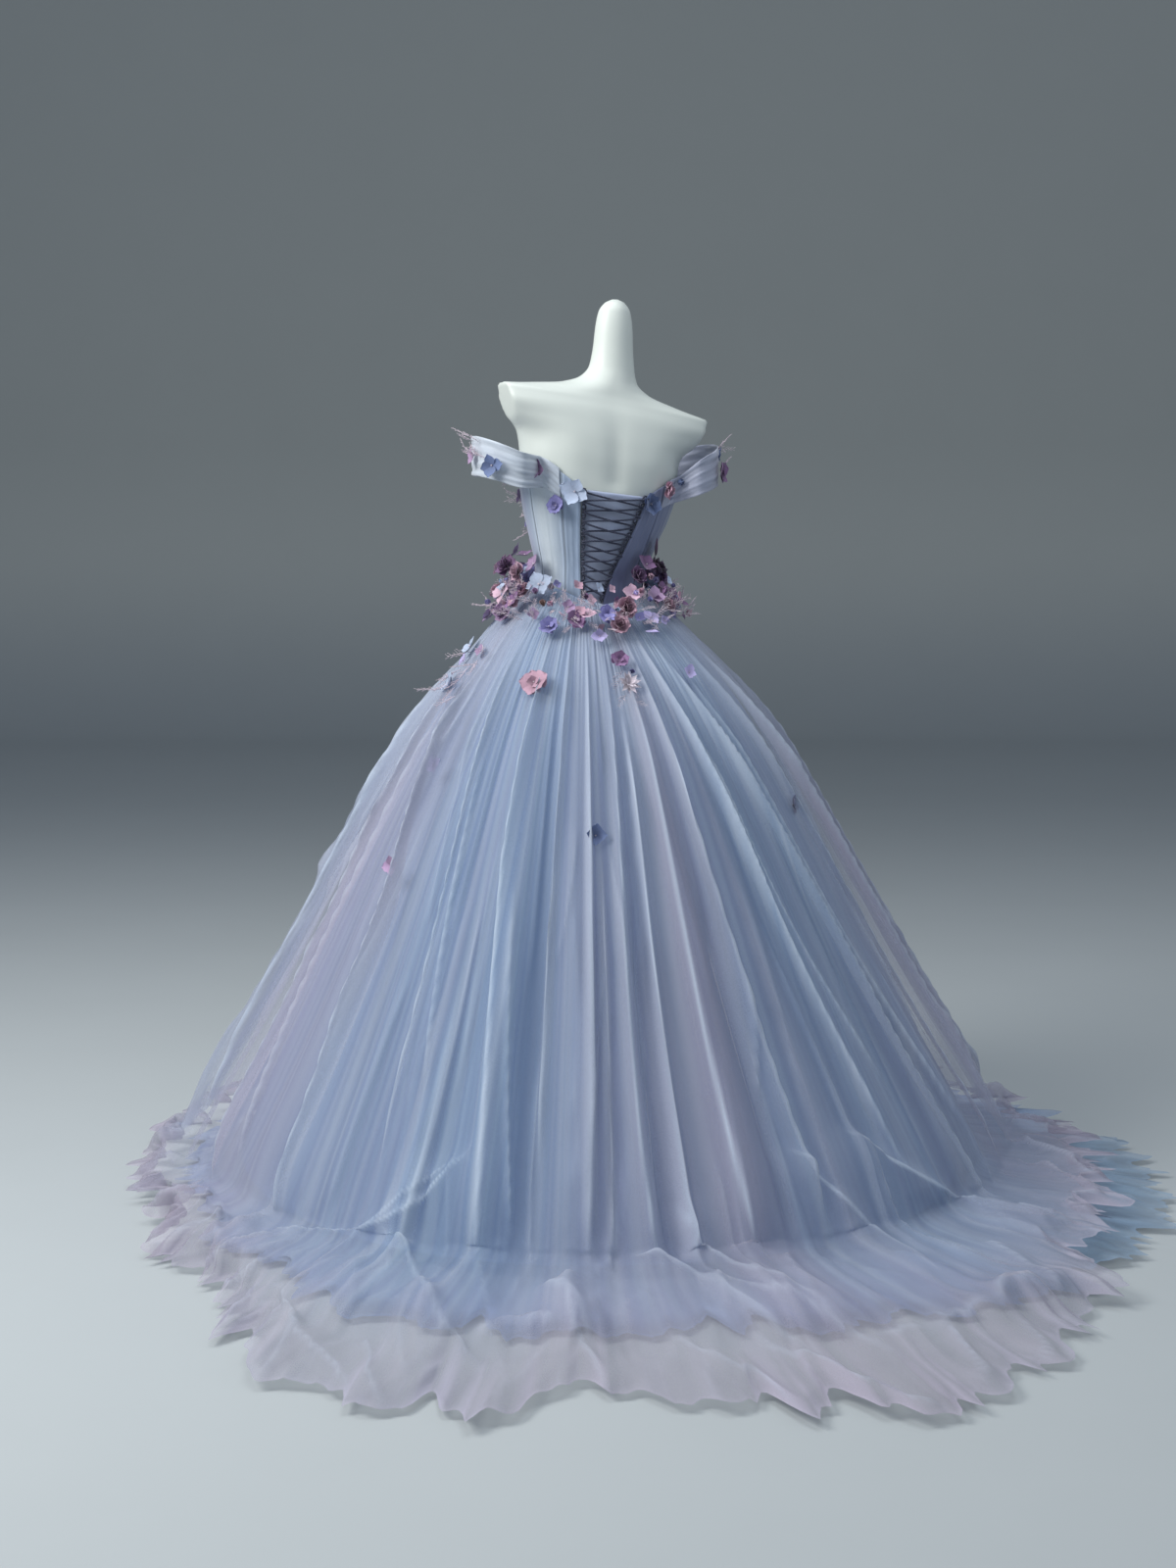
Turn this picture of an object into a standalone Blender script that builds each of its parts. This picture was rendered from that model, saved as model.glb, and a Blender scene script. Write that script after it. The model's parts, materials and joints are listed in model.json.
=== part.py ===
"""Ball gown on a dress form: an off-the-shoulder boned bodice laced at the back, over three skirt layers with a train.

Metres, +Z up. The gown's front faces -Y and its laced back +Y, the wearer's left is +X. The origin is on the floor, at
the centre of the stand's base. Angles are measured in degrees round +Z from +X, so the centre back is at 90.
"""

import math

import bmesh
import bpy
import numpy as np
from mathutils import Vector
from mathutils.bvhtree import BVHTree

# ---------------------------------------------------------------------------------------------- driving dimensions
SEAM_GAP = 0.0003  # between two pieces at a seam
CLEAR = 0.0004  # between a piece and what it lies on
TULLE_WALL = 0.0011  # thickness of a skirt layer or strap
BODICE_WALL = 0.0020  # thickness of the boned bodice
BODICE_EASE = 0.0026  # from the form's surface to the inside of the bodice

BASE_RADIUS = 0.190
BASE_THICK = 0.012
POLE_RADIUS = 0.016
FORM_BOTTOM = 0.780

SKIRT_TOP_LAP = 0.010  # how far the skirt layers reach up over the bodice's lower edge
WAIST_LIFT = {"under": 0.0016, "middle": 0.0044, "outer": 0.0074}  # inner face of each layer, off the bodice
FLOOR_SHARE = 0.80  # share of a layer's length that falls; the rest lies on the floor
FALL_SWELL = 1.1  # how much the skirt springs out below the waist
CORNER_WIDTH = 0.07  # how softly the fall turns onto the floor, as a share of the fall
LAYER_INSET = {"under": 0.104, "middle": 0.052, "outer": 0.0}  # how far inside the outer layer a layer falls
LAYER_FLOOR = {"under": 0.018, "middle": 0.004, "outer": 0.032}  # height at which a layer lies
FOLD_SCALE = {"under": 0.50, "middle": 0.70, "outer": 1.0}  # share of the fold table's depth
HEM_FLOOR = 0.0035  # height of the lowest hem above the floor

# The dress form, from its cut bottom to the tip of its neck spike: height, half width, depth to the front and to the
# back of the centre line, and squareness, the power of the outline's curve.
TORSO_COLUMNS = ("height", "half_width", "front", "back", "power")
TORSO = (
    (0.780, 0.135, 0.085, 0.095, 2.2),
    (0.840, 0.150, 0.097, 0.111, 2.2),
    (0.900, 0.156, 0.099, 0.117, 2.1),
    (0.960, 0.138, 0.090, 0.104, 2.0),
    (1.020, 0.106, 0.078, 0.083, 2.0),
    (1.060, 0.094, 0.073, 0.073, 2.0),
    (1.100, 0.097, 0.078, 0.072, 2.0),
    (1.150, 0.112, 0.093, 0.079, 2.05),
    (1.200, 0.128, 0.113, 0.086, 2.1),
    (1.250, 0.141, 0.124, 0.090, 2.1),
    (1.290, 0.147, 0.122, 0.090, 2.1),
    (1.330, 0.158, 0.101, 0.086, 2.1),
    (1.360, 0.190, 0.081, 0.079, 2.1),
    (1.385, 0.215, 0.066, 0.070, 2.2),
    (1.403, 0.215, 0.056, 0.060, 2.2),
    (1.416, 0.150, 0.050, 0.054, 2.1),
    (1.430, 0.083, 0.046, 0.050, 2.0),
    (1.446, 0.053, 0.042, 0.045, 2.0),
    (1.466, 0.042, 0.038, 0.040, 2.0),
    (1.500, 0.037, 0.034, 0.036, 2.0),
    (1.540, 0.034, 0.031, 0.033, 2.0),
    (1.568, 0.029, 0.027, 0.028, 2.0),
    (1.584, 0.018, 0.017, 0.018, 2.0),
    (1.590, 0.006, 0.006, 0.006, 2.0),
)
ARM_CUT_HALF = 0.193  # where the shoulders are cut off flat, at ARM_CUT_HEIGHT
ARM_CUT_HEIGHT = 1.403
ARM_CUT_SLOPE = 0.35  # the cut leans in below that height
ARM_CUT_LOWEST = 1.300  # nothing is cut off below
TORSO_COLUMNS_ROUND = 36

# How the form stands: its middle drifts to the wearer's right and its left shoulder lifts, by height.
STANCE_COLUMNS = ("height", "shift", "tilt")
STANCE = (
    (0.950, 0.000, 0.0),
    (1.050, 0.000, 2.0),
    (1.150, -0.009, 5.0),
    (1.250, -0.020, 7.0),
    (1.350, -0.026, 9.5),
    (1.420, -0.032, 9.5),
    (1.470, -0.046, 6.0),
    (1.600, -0.052, 0.0),
)

# The bodice's edges, by how far round a point is from the centre back.
BODICE_EDGE_COLUMNS = ("from_back", "top", "bottom")
BODICE_EDGES = (
    (0.0, 1.246, 1.034),
    (24.0, 1.246, 1.044),
    (37.5, 1.264, 1.052),
    (55.0, 1.284, 1.060),
    (75.0, 1.290, 1.064),
    (90.0, 1.284, 1.066),
    (112.5, 1.284, 1.062),
    (130.0, 1.292, 1.056),
    (150.0, 1.302, 1.047),
    (165.0, 1.292, 1.038),
    (180.0, 1.262, 1.030),
)

# The two laced edges, in degrees from the centre back towards the wearer's left, by share of the bodice's height.
LACED_EDGE_COLUMNS = ("down", "left", "right")
LACED_EDGES = (
    (0.0, 26.0, -26.0),
    (0.5, 26.0, -16.0),
    (1.0, 23.0, 3.0),
)
BODICE_SEAMS = (41.0, 75.0, 112.5, 150.0)  # degrees from the centre back
BODICE_ROWS = 7
MODESTY_EASE = 0.0014  # from the form to the panel behind the lacing
MODESTY_SLOT = 0.0016  # from that panel's sides to the laced edges
PANEL_STEP = 7.5  # degrees between a panel's columns

LACE_RADIUS = 0.0016
LACE_CROSSINGS = 11
LACED_SHARE = 0.92  # share of the laced edge that carries loops
LACE_POINTS = 4  # stations along each crossing
BODICE_RADIUS = 0.11  # mean, to turn a distance round the bodice into degrees
LOOP_REACH = 0.007  # how far the rouleau loops stand in from the laced edge
LOOP_THICK = 0.0030

# How far from the axis the cloth meets the floor, and where each layer's hem lies, by angle round the gown.
HEM_COLUMNS = ("angle", "meets_floor", "middle_hem", "outer_hem")
HEMS = (
    (0.0, 0.755, 0.770, 0.860),
    (24.0, 0.775, 0.850, 0.965),
    (40.0, 0.790, 0.930, 1.130),
    (52.0, 0.800, 0.985, 1.290),
    (62.0, 0.805, 1.000, 1.330),
    (71.0, 0.805, 0.975, 1.190),
    (82.0, 0.810, 1.000, 1.340),
    (94.0, 0.815, 1.040, 1.370),
    (108.0, 0.820, 1.080, 1.230),
    (124.0, 0.815, 1.130, 1.100),
    (142.0, 0.800, 1.110, 1.010),
    (158.0, 0.790, 1.050, 0.950),
    (183.0, 0.770, 0.930, 0.880),
    (205.0, 0.760, 0.830, 0.850),
    (235.0, 0.750, 0.770, 0.820),
    (270.0, 0.745, 0.760, 0.810),
    (305.0, 0.745, 0.760, 0.815),
    (335.0, 0.750, 0.765, 0.835),
)

# The skirt's largest folds: the angle where each leaves the waist, how far it turns by the hem, where it starts as a
# share of the length, half its width in degrees, and how far its ridge stands out at the hem.
FOLD_COLUMNS = ("angle", "turn", "start", "half_width", "depth")
FOLDS = (
    (-14.0, -2.0, 0.06, 5.2, 0.040),
    (2.0, -3.0, 0.12, 4.4, 0.030),
    (15.0, -2.0, 0.05, 5.6, 0.044),
    (31.0, 3.0, 0.10, 4.6, 0.034),
    (44.0, 3.0, 0.16, 4.0, 0.028),
    (56.0, 0.0, 0.05, 4.8, 0.040),
    (67.0, 2.0, 0.10, 3.6, 0.034),
    (77.0, 1.0, 0.22, 3.4, 0.026),
    (88.0, 4.0, 0.04, 5.4, 0.050),
    (101.0, 5.0, 0.12, 4.2, 0.034),
    (112.0, 8.0, 0.06, 4.8, 0.044),
    (125.0, 9.0, 0.14, 4.2, 0.032),
    (138.0, 9.0, 0.05, 5.2, 0.046),
    (153.0, 8.0, 0.12, 4.6, 0.034),
    (168.0, 6.0, 0.06, 5.4, 0.042),
    (184.0, 4.0, 0.14, 4.4, 0.030),
    (199.0, 2.0, 0.05, 5.6, 0.040),
    (214.0, 0.0, 0.12, 4.4, 0.032),
    (229.0, -2.0, 0.06, 5.4, 0.042),
    (245.0, 0.0, 0.16, 4.6, 0.030),
    (259.0, 2.0, 0.05, 5.2, 0.040),
    (275.0, -1.0, 0.12, 4.4, 0.032),
    (290.0, -3.0, 0.06, 5.6, 0.042),
    (306.0, 0.0, 0.14, 4.4, 0.030),
    (322.0, 2.0, 0.06, 5.4, 0.038),
    (335.0, 1.0, 0.14, 4.0, 0.028),
)
SKIRT_ROWS = {
    "outer": (0.0, 0.035, 0.08, 0.115, 0.15, 0.25, 0.38, 0.52, 0.66, 0.76, 0.83, 0.91, 1.0),
    "middle": (0.0, 0.05, 0.13, 0.27, 0.45, 0.63, 0.76, 0.86, 1.0),
    "under": (0.0, 0.07, 0.18, 0.36, 0.56, 0.79),
}
GORE_NAMES = {
    "outer": ("side_left", "back_left", "back_train", "side_right", "front_right", "front_left"),
    "middle": ("side_left", "back", "side_right", "front"),
    "under": ("side_left", "back", "side_right", "front"),
}
GORE_START = {"outer": -25.0, "middle": -35.0, "under": -45.0}  # angle of the first gore's seam
GORE_COLUMNS = {"outer": 14, "middle": 14, "under": 9}

# The band of each strap where it stands round the arm: its middle line from the back to the front, on the wearer's
# left. Both ends lie on the bodice, at the angles and depths below. The right one is its mirror image, shifted.
STRAP_COLUMNS = ("across", "along", "height", "width")
STRAP_ROUND_ARM = (
    (0.152, 0.0800, 1.285, 0.062),
    (0.190, 0.0600, 1.299, 0.068),
    (0.211, 0.0200, 1.308, 0.070),
    (0.212, -0.0250, 1.310, 0.070),
    (0.194, -0.0700, 1.307, 0.068),
    (0.165, -0.1020, 1.302, 0.062),
)
STRAP_BACK_ENDS = (42.0, 50.0, 58.0)  # degrees from the centre back
STRAP_FRONT_ENDS = (128.0, 136.0, 143.0)
STRAP_END_TOP = -0.02  # shares of the bodice's height that the sewn end covers
STRAP_END_LOW = 0.21
STRAP_ROWS = 4
STRAP_OFF_BODICE = 0.0012
STRAP_RIGHT_SHIFT = -0.036
STRAP_RIGHT_DROP = -0.014

# Sprays of cloth flowers, each a plain body of its reach: the piece it is sewn to, its first and last row and column
# on that piece, how thick it is, how many lumps it has, and its colour.
SPRAY_LIFT = 0.0006  # from the cloth to a spray's back
SPRAY_COLUMNS = ("name", "sewn_to", "rows", "columns", "thick", "lumps", "colour")
SPRAYS = (
    ("spray_waist_side_left", "skirt_outer_side_left", (0, 2), (1, 13), 0.034, 4, "mauve"),
    ("spray_waist_back_left", "skirt_outer_back_left", (0, 2), (1, 13), 0.026, 4, "rose"),
    ("spray_waist_back_right", "skirt_outer_back_train", (0, 2), (1, 13), 0.028, 4, "plum"),
    ("spray_waist_side_right", "skirt_outer_side_right", (0, 2), (1, 13), 0.028, 4, "plum"),
    ("spray_waist_front_right", "skirt_outer_front_right", (0, 2), (1, 13), 0.026, 4, "mauve"),
    ("spray_waist_front_left", "skirt_outer_front_left", (0, 2), (1, 13), 0.026, 4, "rose"),
    ("spray_hip_left", "skirt_outer_side_left", (2, 4), (4, 10), 0.028, 2, "pale_blue"),
    ("spray_tail", "skirt_outer_back_left", (2, 4), (11, 13), 0.016, 1, "rose"),
    ("spray_bodice_front_left", "bodice_side_front_left", (2, 4), (1, 4), 0.020, 1, "mauve"),
    ("spray_strap_left", "strap_left", (1, 3), (4, 7), 0.014, 1, "pale_blue"),
    ("spray_strap_right", "strap_right", (1, 3), (4, 7), 0.014, 1, "plum"),
)

# Single cloth blossoms on the skirt: angle, share of the length, petal radius.
BLOSSOM_COLUMNS = ("name", "angle", "length", "radius", "colour")
SKIRT_BLOSSOMS = (
    ("blossom_skirt_pink", 50.0, 0.118, 0.026, "rose"),
    ("blossom_skirt_faint", 22.0, 0.235, 0.018, "mauve"),
    ("blossom_skirt_mauve", 22.0, 0.365, 0.020, "mauve"),
    ("blossom_skirt_blue", 72.0, 0.300, 0.020, "deep_blue"),
    ("blossom_skirt_plum", 131.0, 0.290, 0.020, "plum"),
    ("blossom_skirt_lilac", 117.0, 0.105, 0.016, "mauve"),
)

# Single cloth blossoms along the neckline: degrees from the centre back, share of the bodice's height, radius, petals.
NECK_COLUMNS = ("name", "from_back", "down", "radius", "petals", "colour")
NECK_BLOSSOMS = (
    ("blossom_neck_pale", 30.0, 0.070, 0.026, 4, "pale_blue"),
    ("blossom_neck_violet", 45.0, 0.290, 0.017, 4, "mauve"),
    ("blossom_neck_mauve", 60.0, 0.090, 0.022, 4, "mauve"),
    ("blossom_neck_blue", -27.0, 0.080, 0.020, 4, "deep_blue"),
    ("blossom_neck_rose", -40.5, 0.030, 0.018, 5, "rose"),
    ("blossom_neck_bud", -53.0, 0.010, 0.013, 4, "deep_blue"),
)

COLOURS = {
    "form_white": ((0.80, 0.82, 0.80), 0.55, 0.0),
    "stand_steel": ((0.62, 0.63, 0.64), 0.35, 0.8),
    "bodice_blue": ((0.50, 0.58, 0.70), 0.80, 0.0),
    "panel_grey": ((0.16, 0.20, 0.31), 0.60, 0.0),
    "lace_slate": ((0.13, 0.16, 0.27), 0.50, 0.0),
    "tulle_lilac": ((0.55, 0.50, 0.62), 0.85, 0.0),
    "tulle_blue": ((0.34, 0.43, 0.68), 0.85, 0.0),
    "tulle_deep": ((0.25, 0.33, 0.60), 0.80, 0.0),
    "rose": ((0.55, 0.33, 0.42), 0.80, 0.0),
    "mauve": ((0.40, 0.32, 0.50), 0.80, 0.0),
    "deep_blue": ((0.13, 0.18, 0.38), 0.80, 0.0),
    "pale_blue": ((0.45, 0.54, 0.76), 0.80, 0.0),
    "plum": ((0.22, 0.14, 0.27), 0.80, 0.0),
}


# ---------------------------------------------------------------------------------------------------- small helpers
def column(table, columns, name):
    """One named column of a table, as an array."""
    at = columns.index(name)
    return np.array([row[at] for row in table], float)


def soft_step(x):
    """0 below 0, 1 above 1, and a smooth rise between."""
    x = np.clip(x, 0.0, 1.0)
    return x * x * (3.0 - 2.0 * x)


def along(x, xs, ys):
    """Reads a table at x with a smooth curve through its rows (Hermite, with slopes limited so it never overshoots)."""
    xs, ys = np.asarray(xs, float), np.asarray(ys, float)
    steps = np.diff(ys) / np.diff(xs)
    slopes = np.empty_like(ys)
    slopes[0], slopes[-1] = steps[0], steps[-1]
    same_way = steps[:-1] * steps[1:] > 0
    total = np.where(same_way, steps[:-1] + steps[1:], 1.0)
    slopes[1:-1] = np.where(same_way, 2.0 * steps[:-1] * steps[1:] / total, 0.0)
    x = np.clip(x, xs[0], xs[-1])
    i = np.clip(np.searchsorted(xs, x, side="right") - 1, 0, len(xs) - 2)
    width = xs[i + 1] - xs[i]
    u = (x - xs[i]) / width
    rise = u * u * (3.0 - 2.0 * u)
    return (
        ys[i] * (1.0 - rise)
        + ys[i + 1] * rise
        + width * slopes[i] * u * (1.0 - u) ** 2
        - width * slopes[i + 1] * u * u * (1.0 - u)
    )


def round_table(angle, angles, values):
    """Reads a table that closes on itself after 360 degrees."""
    xs = np.concatenate([angles - 360.0, angles, angles + 360.0])
    return along(np.mod(angle, 360.0), xs, np.tile(values, 3))


def unit(vectors):
    return vectors / np.linalg.norm(vectors, axis=-1, keepdims=True)


def material(name):
    found = bpy.data.materials.get(name)
    if found:
        return found
    colour, roughness, metallic = COLOURS[name]
    made = bpy.data.materials.new(name)
    made.use_nodes = True
    shader = made.node_tree.nodes["Principled BSDF"]
    shader.inputs["Base Color"].default_value = (*colour, 1.0)
    shader.inputs["Roughness"].default_value = roughness
    shader.inputs["Metallic"].default_value = metallic
    return made


def add_body(name, vertices, faces, colour):
    """One closed body with its faces pointing out."""
    mesh = bpy.data.meshes.new(name)
    mesh.from_pydata([tuple(v) for v in vertices], [], faces)
    work = bmesh.new()
    work.from_mesh(mesh)
    bmesh.ops.triangulate(work, faces=work.faces, quad_method="FIXED")
    bmesh.ops.recalc_face_normals(work, faces=work.faces)
    work.to_mesh(mesh)
    work.free()
    mesh.materials.append(material(colour))
    mesh.shade_smooth()
    mesh.set_sharp_from_angle(angle=math.radians(50))
    body = bpy.data.objects.new(name, mesh)
    bpy.context.scene.collection.objects.link(body)
    return body


def wall(name, face, back, colour):
    """A closed wall between two grids of points, rows x columns x 3: its face and its back."""
    rows, columns = face.shape[:2]
    vertices = np.concatenate([face.reshape(-1, 3), back.reshape(-1, 3)])
    under = rows * columns
    faces = []
    for i in range(rows - 1):
        for j in range(columns - 1):
            a, b = i * columns + j, i * columns + j + 1
            c, d = b + columns, a + columns
            faces += [(a, d, c, b), (under + a, under + b, under + c, under + d)]
    edge = [i * columns for i in range(rows)]
    edge += [(rows - 1) * columns + j for j in range(1, columns)]
    edge += [i * columns + columns - 1 for i in range(rows - 2, -1, -1)]
    edge += list(range(columns - 2, 0, -1))
    for k, a in enumerate(edge):
        b = edge[(k + 1) % len(edge)]
        faces.append((a, under + a, under + b, b))
    return add_body(name, vertices, faces, colour)


def stacked_rings(name, rings, colour):
    """A closed body through rings of equally many points, with a flat fan at each end."""
    count, around = rings.shape[:2]
    vertices = list(rings.reshape(-1, 3)) + [rings[0].mean(0), rings[-1].mean(0)]
    faces = []
    for i in range(count - 1):
        for j in range(around):
            k = (j + 1) % around
            faces.append((i * around + j, i * around + k, (i + 1) * around + k, (i + 1) * around + j))
    for j in range(around):
        k = (j + 1) % around
        faces.append((count * around, k, j))
        faces.append((count * around + 1, (count - 1) * around + j, (count - 1) * around + k))
    return add_body(name, vertices, faces, colour)


# ------------------------------------------------------------------------------------------------------ the form
def take_stance(points):
    """Shifts each level sideways and tilts it, as the form stands."""
    heights = column(STANCE, STANCE_COLUMNS, "height")
    shift = along(points[..., 2], heights, column(STANCE, STANCE_COLUMNS, "shift"))
    tilt = along(points[..., 2], heights, column(STANCE, STANCE_COLUMNS, "tilt"))
    moved = points.copy()
    moved[..., 0] += shift
    moved[..., 2] += points[..., 0] * np.tan(np.radians(tilt))
    return moved


def torso_outline(angle, height, grow=0.0):
    """A point of the form's outline, before its stance: a squared ellipse, deeper in front than behind, cut flat at
    the shoulders. grow moves it out."""
    heights = column(TORSO, TORSO_COLUMNS, "height")
    half = along(height, heights, column(TORSO, TORSO_COLUMNS, "half_width")) + grow
    front = along(height, heights, column(TORSO, TORSO_COLUMNS, "front")) + grow
    back = along(height, heights, column(TORSO, TORSO_COLUMNS, "back")) + grow
    power = along(height, heights, column(TORSO, TORSO_COLUMNS, "power"))
    turn = np.radians(angle)
    cosine, sine = np.cos(turn), np.sin(turn)
    depth = np.where(sine < 0.0, front, back)
    reach = (np.abs(cosine) ** power + np.abs(sine) ** power) ** (-1.0 / power)
    cut = ARM_CUT_HALF - ARM_CUT_SLOPE * np.maximum(ARM_CUT_HEIGHT - height, 0.0) + grow
    cut = np.where(height > ARM_CUT_LOWEST, cut, half + grow)
    across = np.clip(half * cosine * reach, -cut, cut)
    return np.stack(np.broadcast_arrays(across, depth * sine * reach, height), -1)


def make_form():
    heights = column(TORSO, TORSO_COLUMNS, "height")
    angles = np.arange(TORSO_COLUMNS_ROUND) * 360.0 / TORSO_COLUMNS_ROUND
    rings = torso_outline(angles[None, :], heights[:, None] + 0.0 * angles[None, :])
    stacked_rings("dress_form", take_stance(rings), "form_white")


def make_stand():
    """A round base with a rounded rim, and the pole that carries the form."""
    profile = ((0.94, 0.0), (1.0, 0.2), (1.0, 0.7), (0.97, 0.9), (0.90, 1.0))
    angles = np.radians(np.arange(32) * 360.0 / 32)
    rings = [
        np.stack([r * BASE_RADIUS * np.cos(angles), r * BASE_RADIUS * np.sin(angles), h * BASE_THICK + 0.0 * angles], -1)
        for r, h in profile
    ]
    stacked_rings("stand_base", np.array(rings), "stand_steel")
    angles = np.radians(np.arange(16) * 360.0 / 16)
    rings = [
        np.stack([r * np.cos(angles), r * np.sin(angles), h + 0.0 * angles], -1)
        for r, h in (
            (POLE_RADIUS * 1.9, BASE_THICK + CLEAR),
            (POLE_RADIUS * 1.7, BASE_THICK + 0.020),
            (POLE_RADIUS, BASE_THICK + 0.028),
            (POLE_RADIUS, FORM_BOTTOM - CLEAR),
        )
    ]
    stacked_rings("stand_pole", np.array(rings), "stand_steel")


# ------------------------------------------------------------------------------------------------------ the bodice
def bodice_edge(from_back, which):
    return along(
        np.abs(np.mod(np.asarray(from_back) + 180.0, 360.0) - 180.0),
        column(BODICE_EDGES, BODICE_EDGE_COLUMNS, "from_back"),
        column(BODICE_EDGES, BODICE_EDGE_COLUMNS, which),
    )


def bodice_point(from_back, down, off):
    """A point on the bodice: from_back degrees round from the centre back towards the wearer's left, down its height
    as a share, and off the form's surface by off. Its height runs between the two edges."""
    top, bottom = bodice_edge(from_back, "top"), bodice_edge(from_back, "bottom")
    height = top + (bottom - top) * down
    return take_stance(torso_outline(90.0 - from_back, height, off))


def laced_edge(side, down):
    """Degrees from the centre back to the laced edge on a side, "left" or "right", at a share of the height."""
    shares = column(LACED_EDGES, LACED_EDGE_COLUMNS, "down")
    return along(down, shares, column(LACED_EDGES, LACED_EDGE_COLUMNS, side))


def bodice_panel(name, first, last):
    """A panel between two seams, each given in degrees from the centre back towards the wearer's left, or as "left"
    or "right" for a laced edge."""
    down = np.linspace(0.0, 1.0, BODICE_ROWS)[:, None]
    ends = []
    for end, way in ((first, 1.0), (last, -1.0)):
        turn = laced_edge(end, down) if isinstance(end, str) else end + 0.0 * down
        ends.append(turn + way * math.degrees(SEAM_GAP * 0.6 / BODICE_RADIUS))
    count = max(3, int(round((ends[1][-1, 0] - ends[0][-1, 0]) / PANEL_STEP)))
    share = np.linspace(0.0, 1.0, count + 1)[None, :]
    from_back = ends[0] * (1.0 - share) + ends[1] * share
    inner = bodice_point(from_back, down + 0.0 * share, BODICE_EASE)
    outer = bodice_point(from_back, down + 0.0 * share, BODICE_EASE + BODICE_WALL)
    wall(name, outer[:, ::-1], inner[:, ::-1], "bodice_blue")
    return outer[:, ::-1]


def make_bodice():
    """Nine panels, a modesty panel behind the lacing, two strips of loops and the lace. Returns the outer grids."""
    grids = {}
    back, side_back, side, front = BODICE_SEAMS
    grids["bodice_back_left"] = bodice_panel("bodice_back_left", "left", back)
    grids["bodice_back_right"] = bodice_panel("bodice_back_right", -back, "right")
    for part, first, last in (("side_back", back, side_back), ("side", side_back, side), ("side_front", side, front)):
        grids[f"bodice_{part}_left"] = bodice_panel(f"bodice_{part}_left", first, last)
        grids[f"bodice_{part}_right"] = bodice_panel(f"bodice_{part}_right", -last, -first)
    grids["bodice_centre_front"] = bodice_panel("bodice_centre_front", front, 360.0 - front)
    return grids


def make_modesty_panel():
    """The panel behind the lacing, between the two laced edges and just clear of the form."""
    down = np.linspace(0.0, 1.0, BODICE_ROWS)[:, None]
    slot = math.degrees(MODESTY_SLOT / BODICE_RADIUS)
    first, last = laced_edge("right", down) + slot, laced_edge("left", down) - slot
    share = np.linspace(0.0, 1.0, 9)[None, :]
    turn = first * (1.0 - share) + last * share
    inner = bodice_point(turn, 0.015 + 0.985 * down + 0.0 * share, MODESTY_EASE)
    outer = bodice_point(turn, 0.015 + 0.985 * down + 0.0 * share, MODESTY_EASE + TULLE_WALL)
    wall("modesty_panel", outer[:, ::-1], inner[:, ::-1], "panel_grey")


def laced_point(side, down, off, inwards=0.0):
    """A point by the laced edge on a side; inwards moves it towards the other edge."""
    way = -1.0 if side == "left" else 1.0
    return bodice_point(laced_edge(side, down) + way * np.degrees(inwards / BODICE_RADIUS), down, off)


def make_loop_strips():
    """The row of rouleau loops on each laced edge, as a plain strip of its reach, standing in from the edge."""
    down = np.linspace(0.0, LACED_SHARE, BODICE_ROWS)[:, None]
    off = BODICE_EASE + TULLE_WALL + CLEAR
    share = np.linspace(0.0, 1.0, 2)[None, :]
    reach = CLEAR + LOOP_REACH * share
    for side in ("left", "right"):
        inner = laced_point(side, down + 0.0 * share, off, reach)
        outer = laced_point(side, down + 0.0 * share, off + LOOP_THICK, reach)
        wall(f"loops_{side}", outer, inner, "lace_slate")


def tube(name, path, radius, colour, sides=5):
    """A cord along a path of points, with flat ends."""
    path = np.asarray(path, float)
    ahead = unit(np.gradient(path, axis=0))
    out = np.array([0.0, 1.0, 0.0])
    across = unit(np.cross(ahead, out))
    lift = np.cross(across, ahead)
    turns = np.radians(np.arange(sides) * 360.0 / sides)
    rings = path[:, None] + radius * (
        np.cos(turns)[None, :, None] * across[:, None] + np.sin(turns)[None, :, None] * lift[:, None]
    )
    stacked_rings(name, rings, colour)


def make_lace():
    """Two runs that zigzag between the loops and cross at the centre back, one over the other, each bent round the
    back."""
    off = BODICE_EASE + TULLE_WALL + CLEAR + LOOP_THICK + LACE_RADIUS + 4.0 * CLEAR
    share = np.linspace(0.0, 1.0, LACE_CROSSINGS * LACE_POINTS + 1)
    crossing = share * LACE_CROSSINGS
    swing = 1.0 - 2.0 * np.abs(np.mod(crossing, 2.0) - 1.0)
    down = 0.03 + (LACED_SHARE - 0.05) * share
    left, right = laced_edge("left", down), laced_edge("right", down)
    reach = 0.5 * (left - right) - math.degrees(0.5 * LOOP_REACH / BODICE_RADIUS)
    for name, way, level in (("lace_under", 1.0, 0.0), ("lace_over", -1.0, 2.4 * LACE_RADIUS)):
        turn = 0.5 * (left + right) + way * swing * reach
        tube(name, bodice_point(turn, down, off + level), LACE_RADIUS, "lace_slate")


# -------------------------------------------------------------------------------------------------------- the skirt
def fold_height(angle, length, scale):
    """How far the folds stand out at a point: each is a rounded ridge that starts some way down and may turn."""
    total = np.zeros(np.broadcast(angle, length).shape)
    for row in FOLDS:
        at, turn, start, half, depth = row
        middle = at + turn * length
        away = np.mod(angle - middle + 180.0, 360.0) - 180.0
        width = half * (0.85 + 0.3 * length)
        grown = soft_step((length - start) / 0.5) * (0.35 + 0.65 * length)
        total = np.maximum(total, depth * grown * np.exp(-((away / width) ** 2)))
    return scale * total


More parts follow.
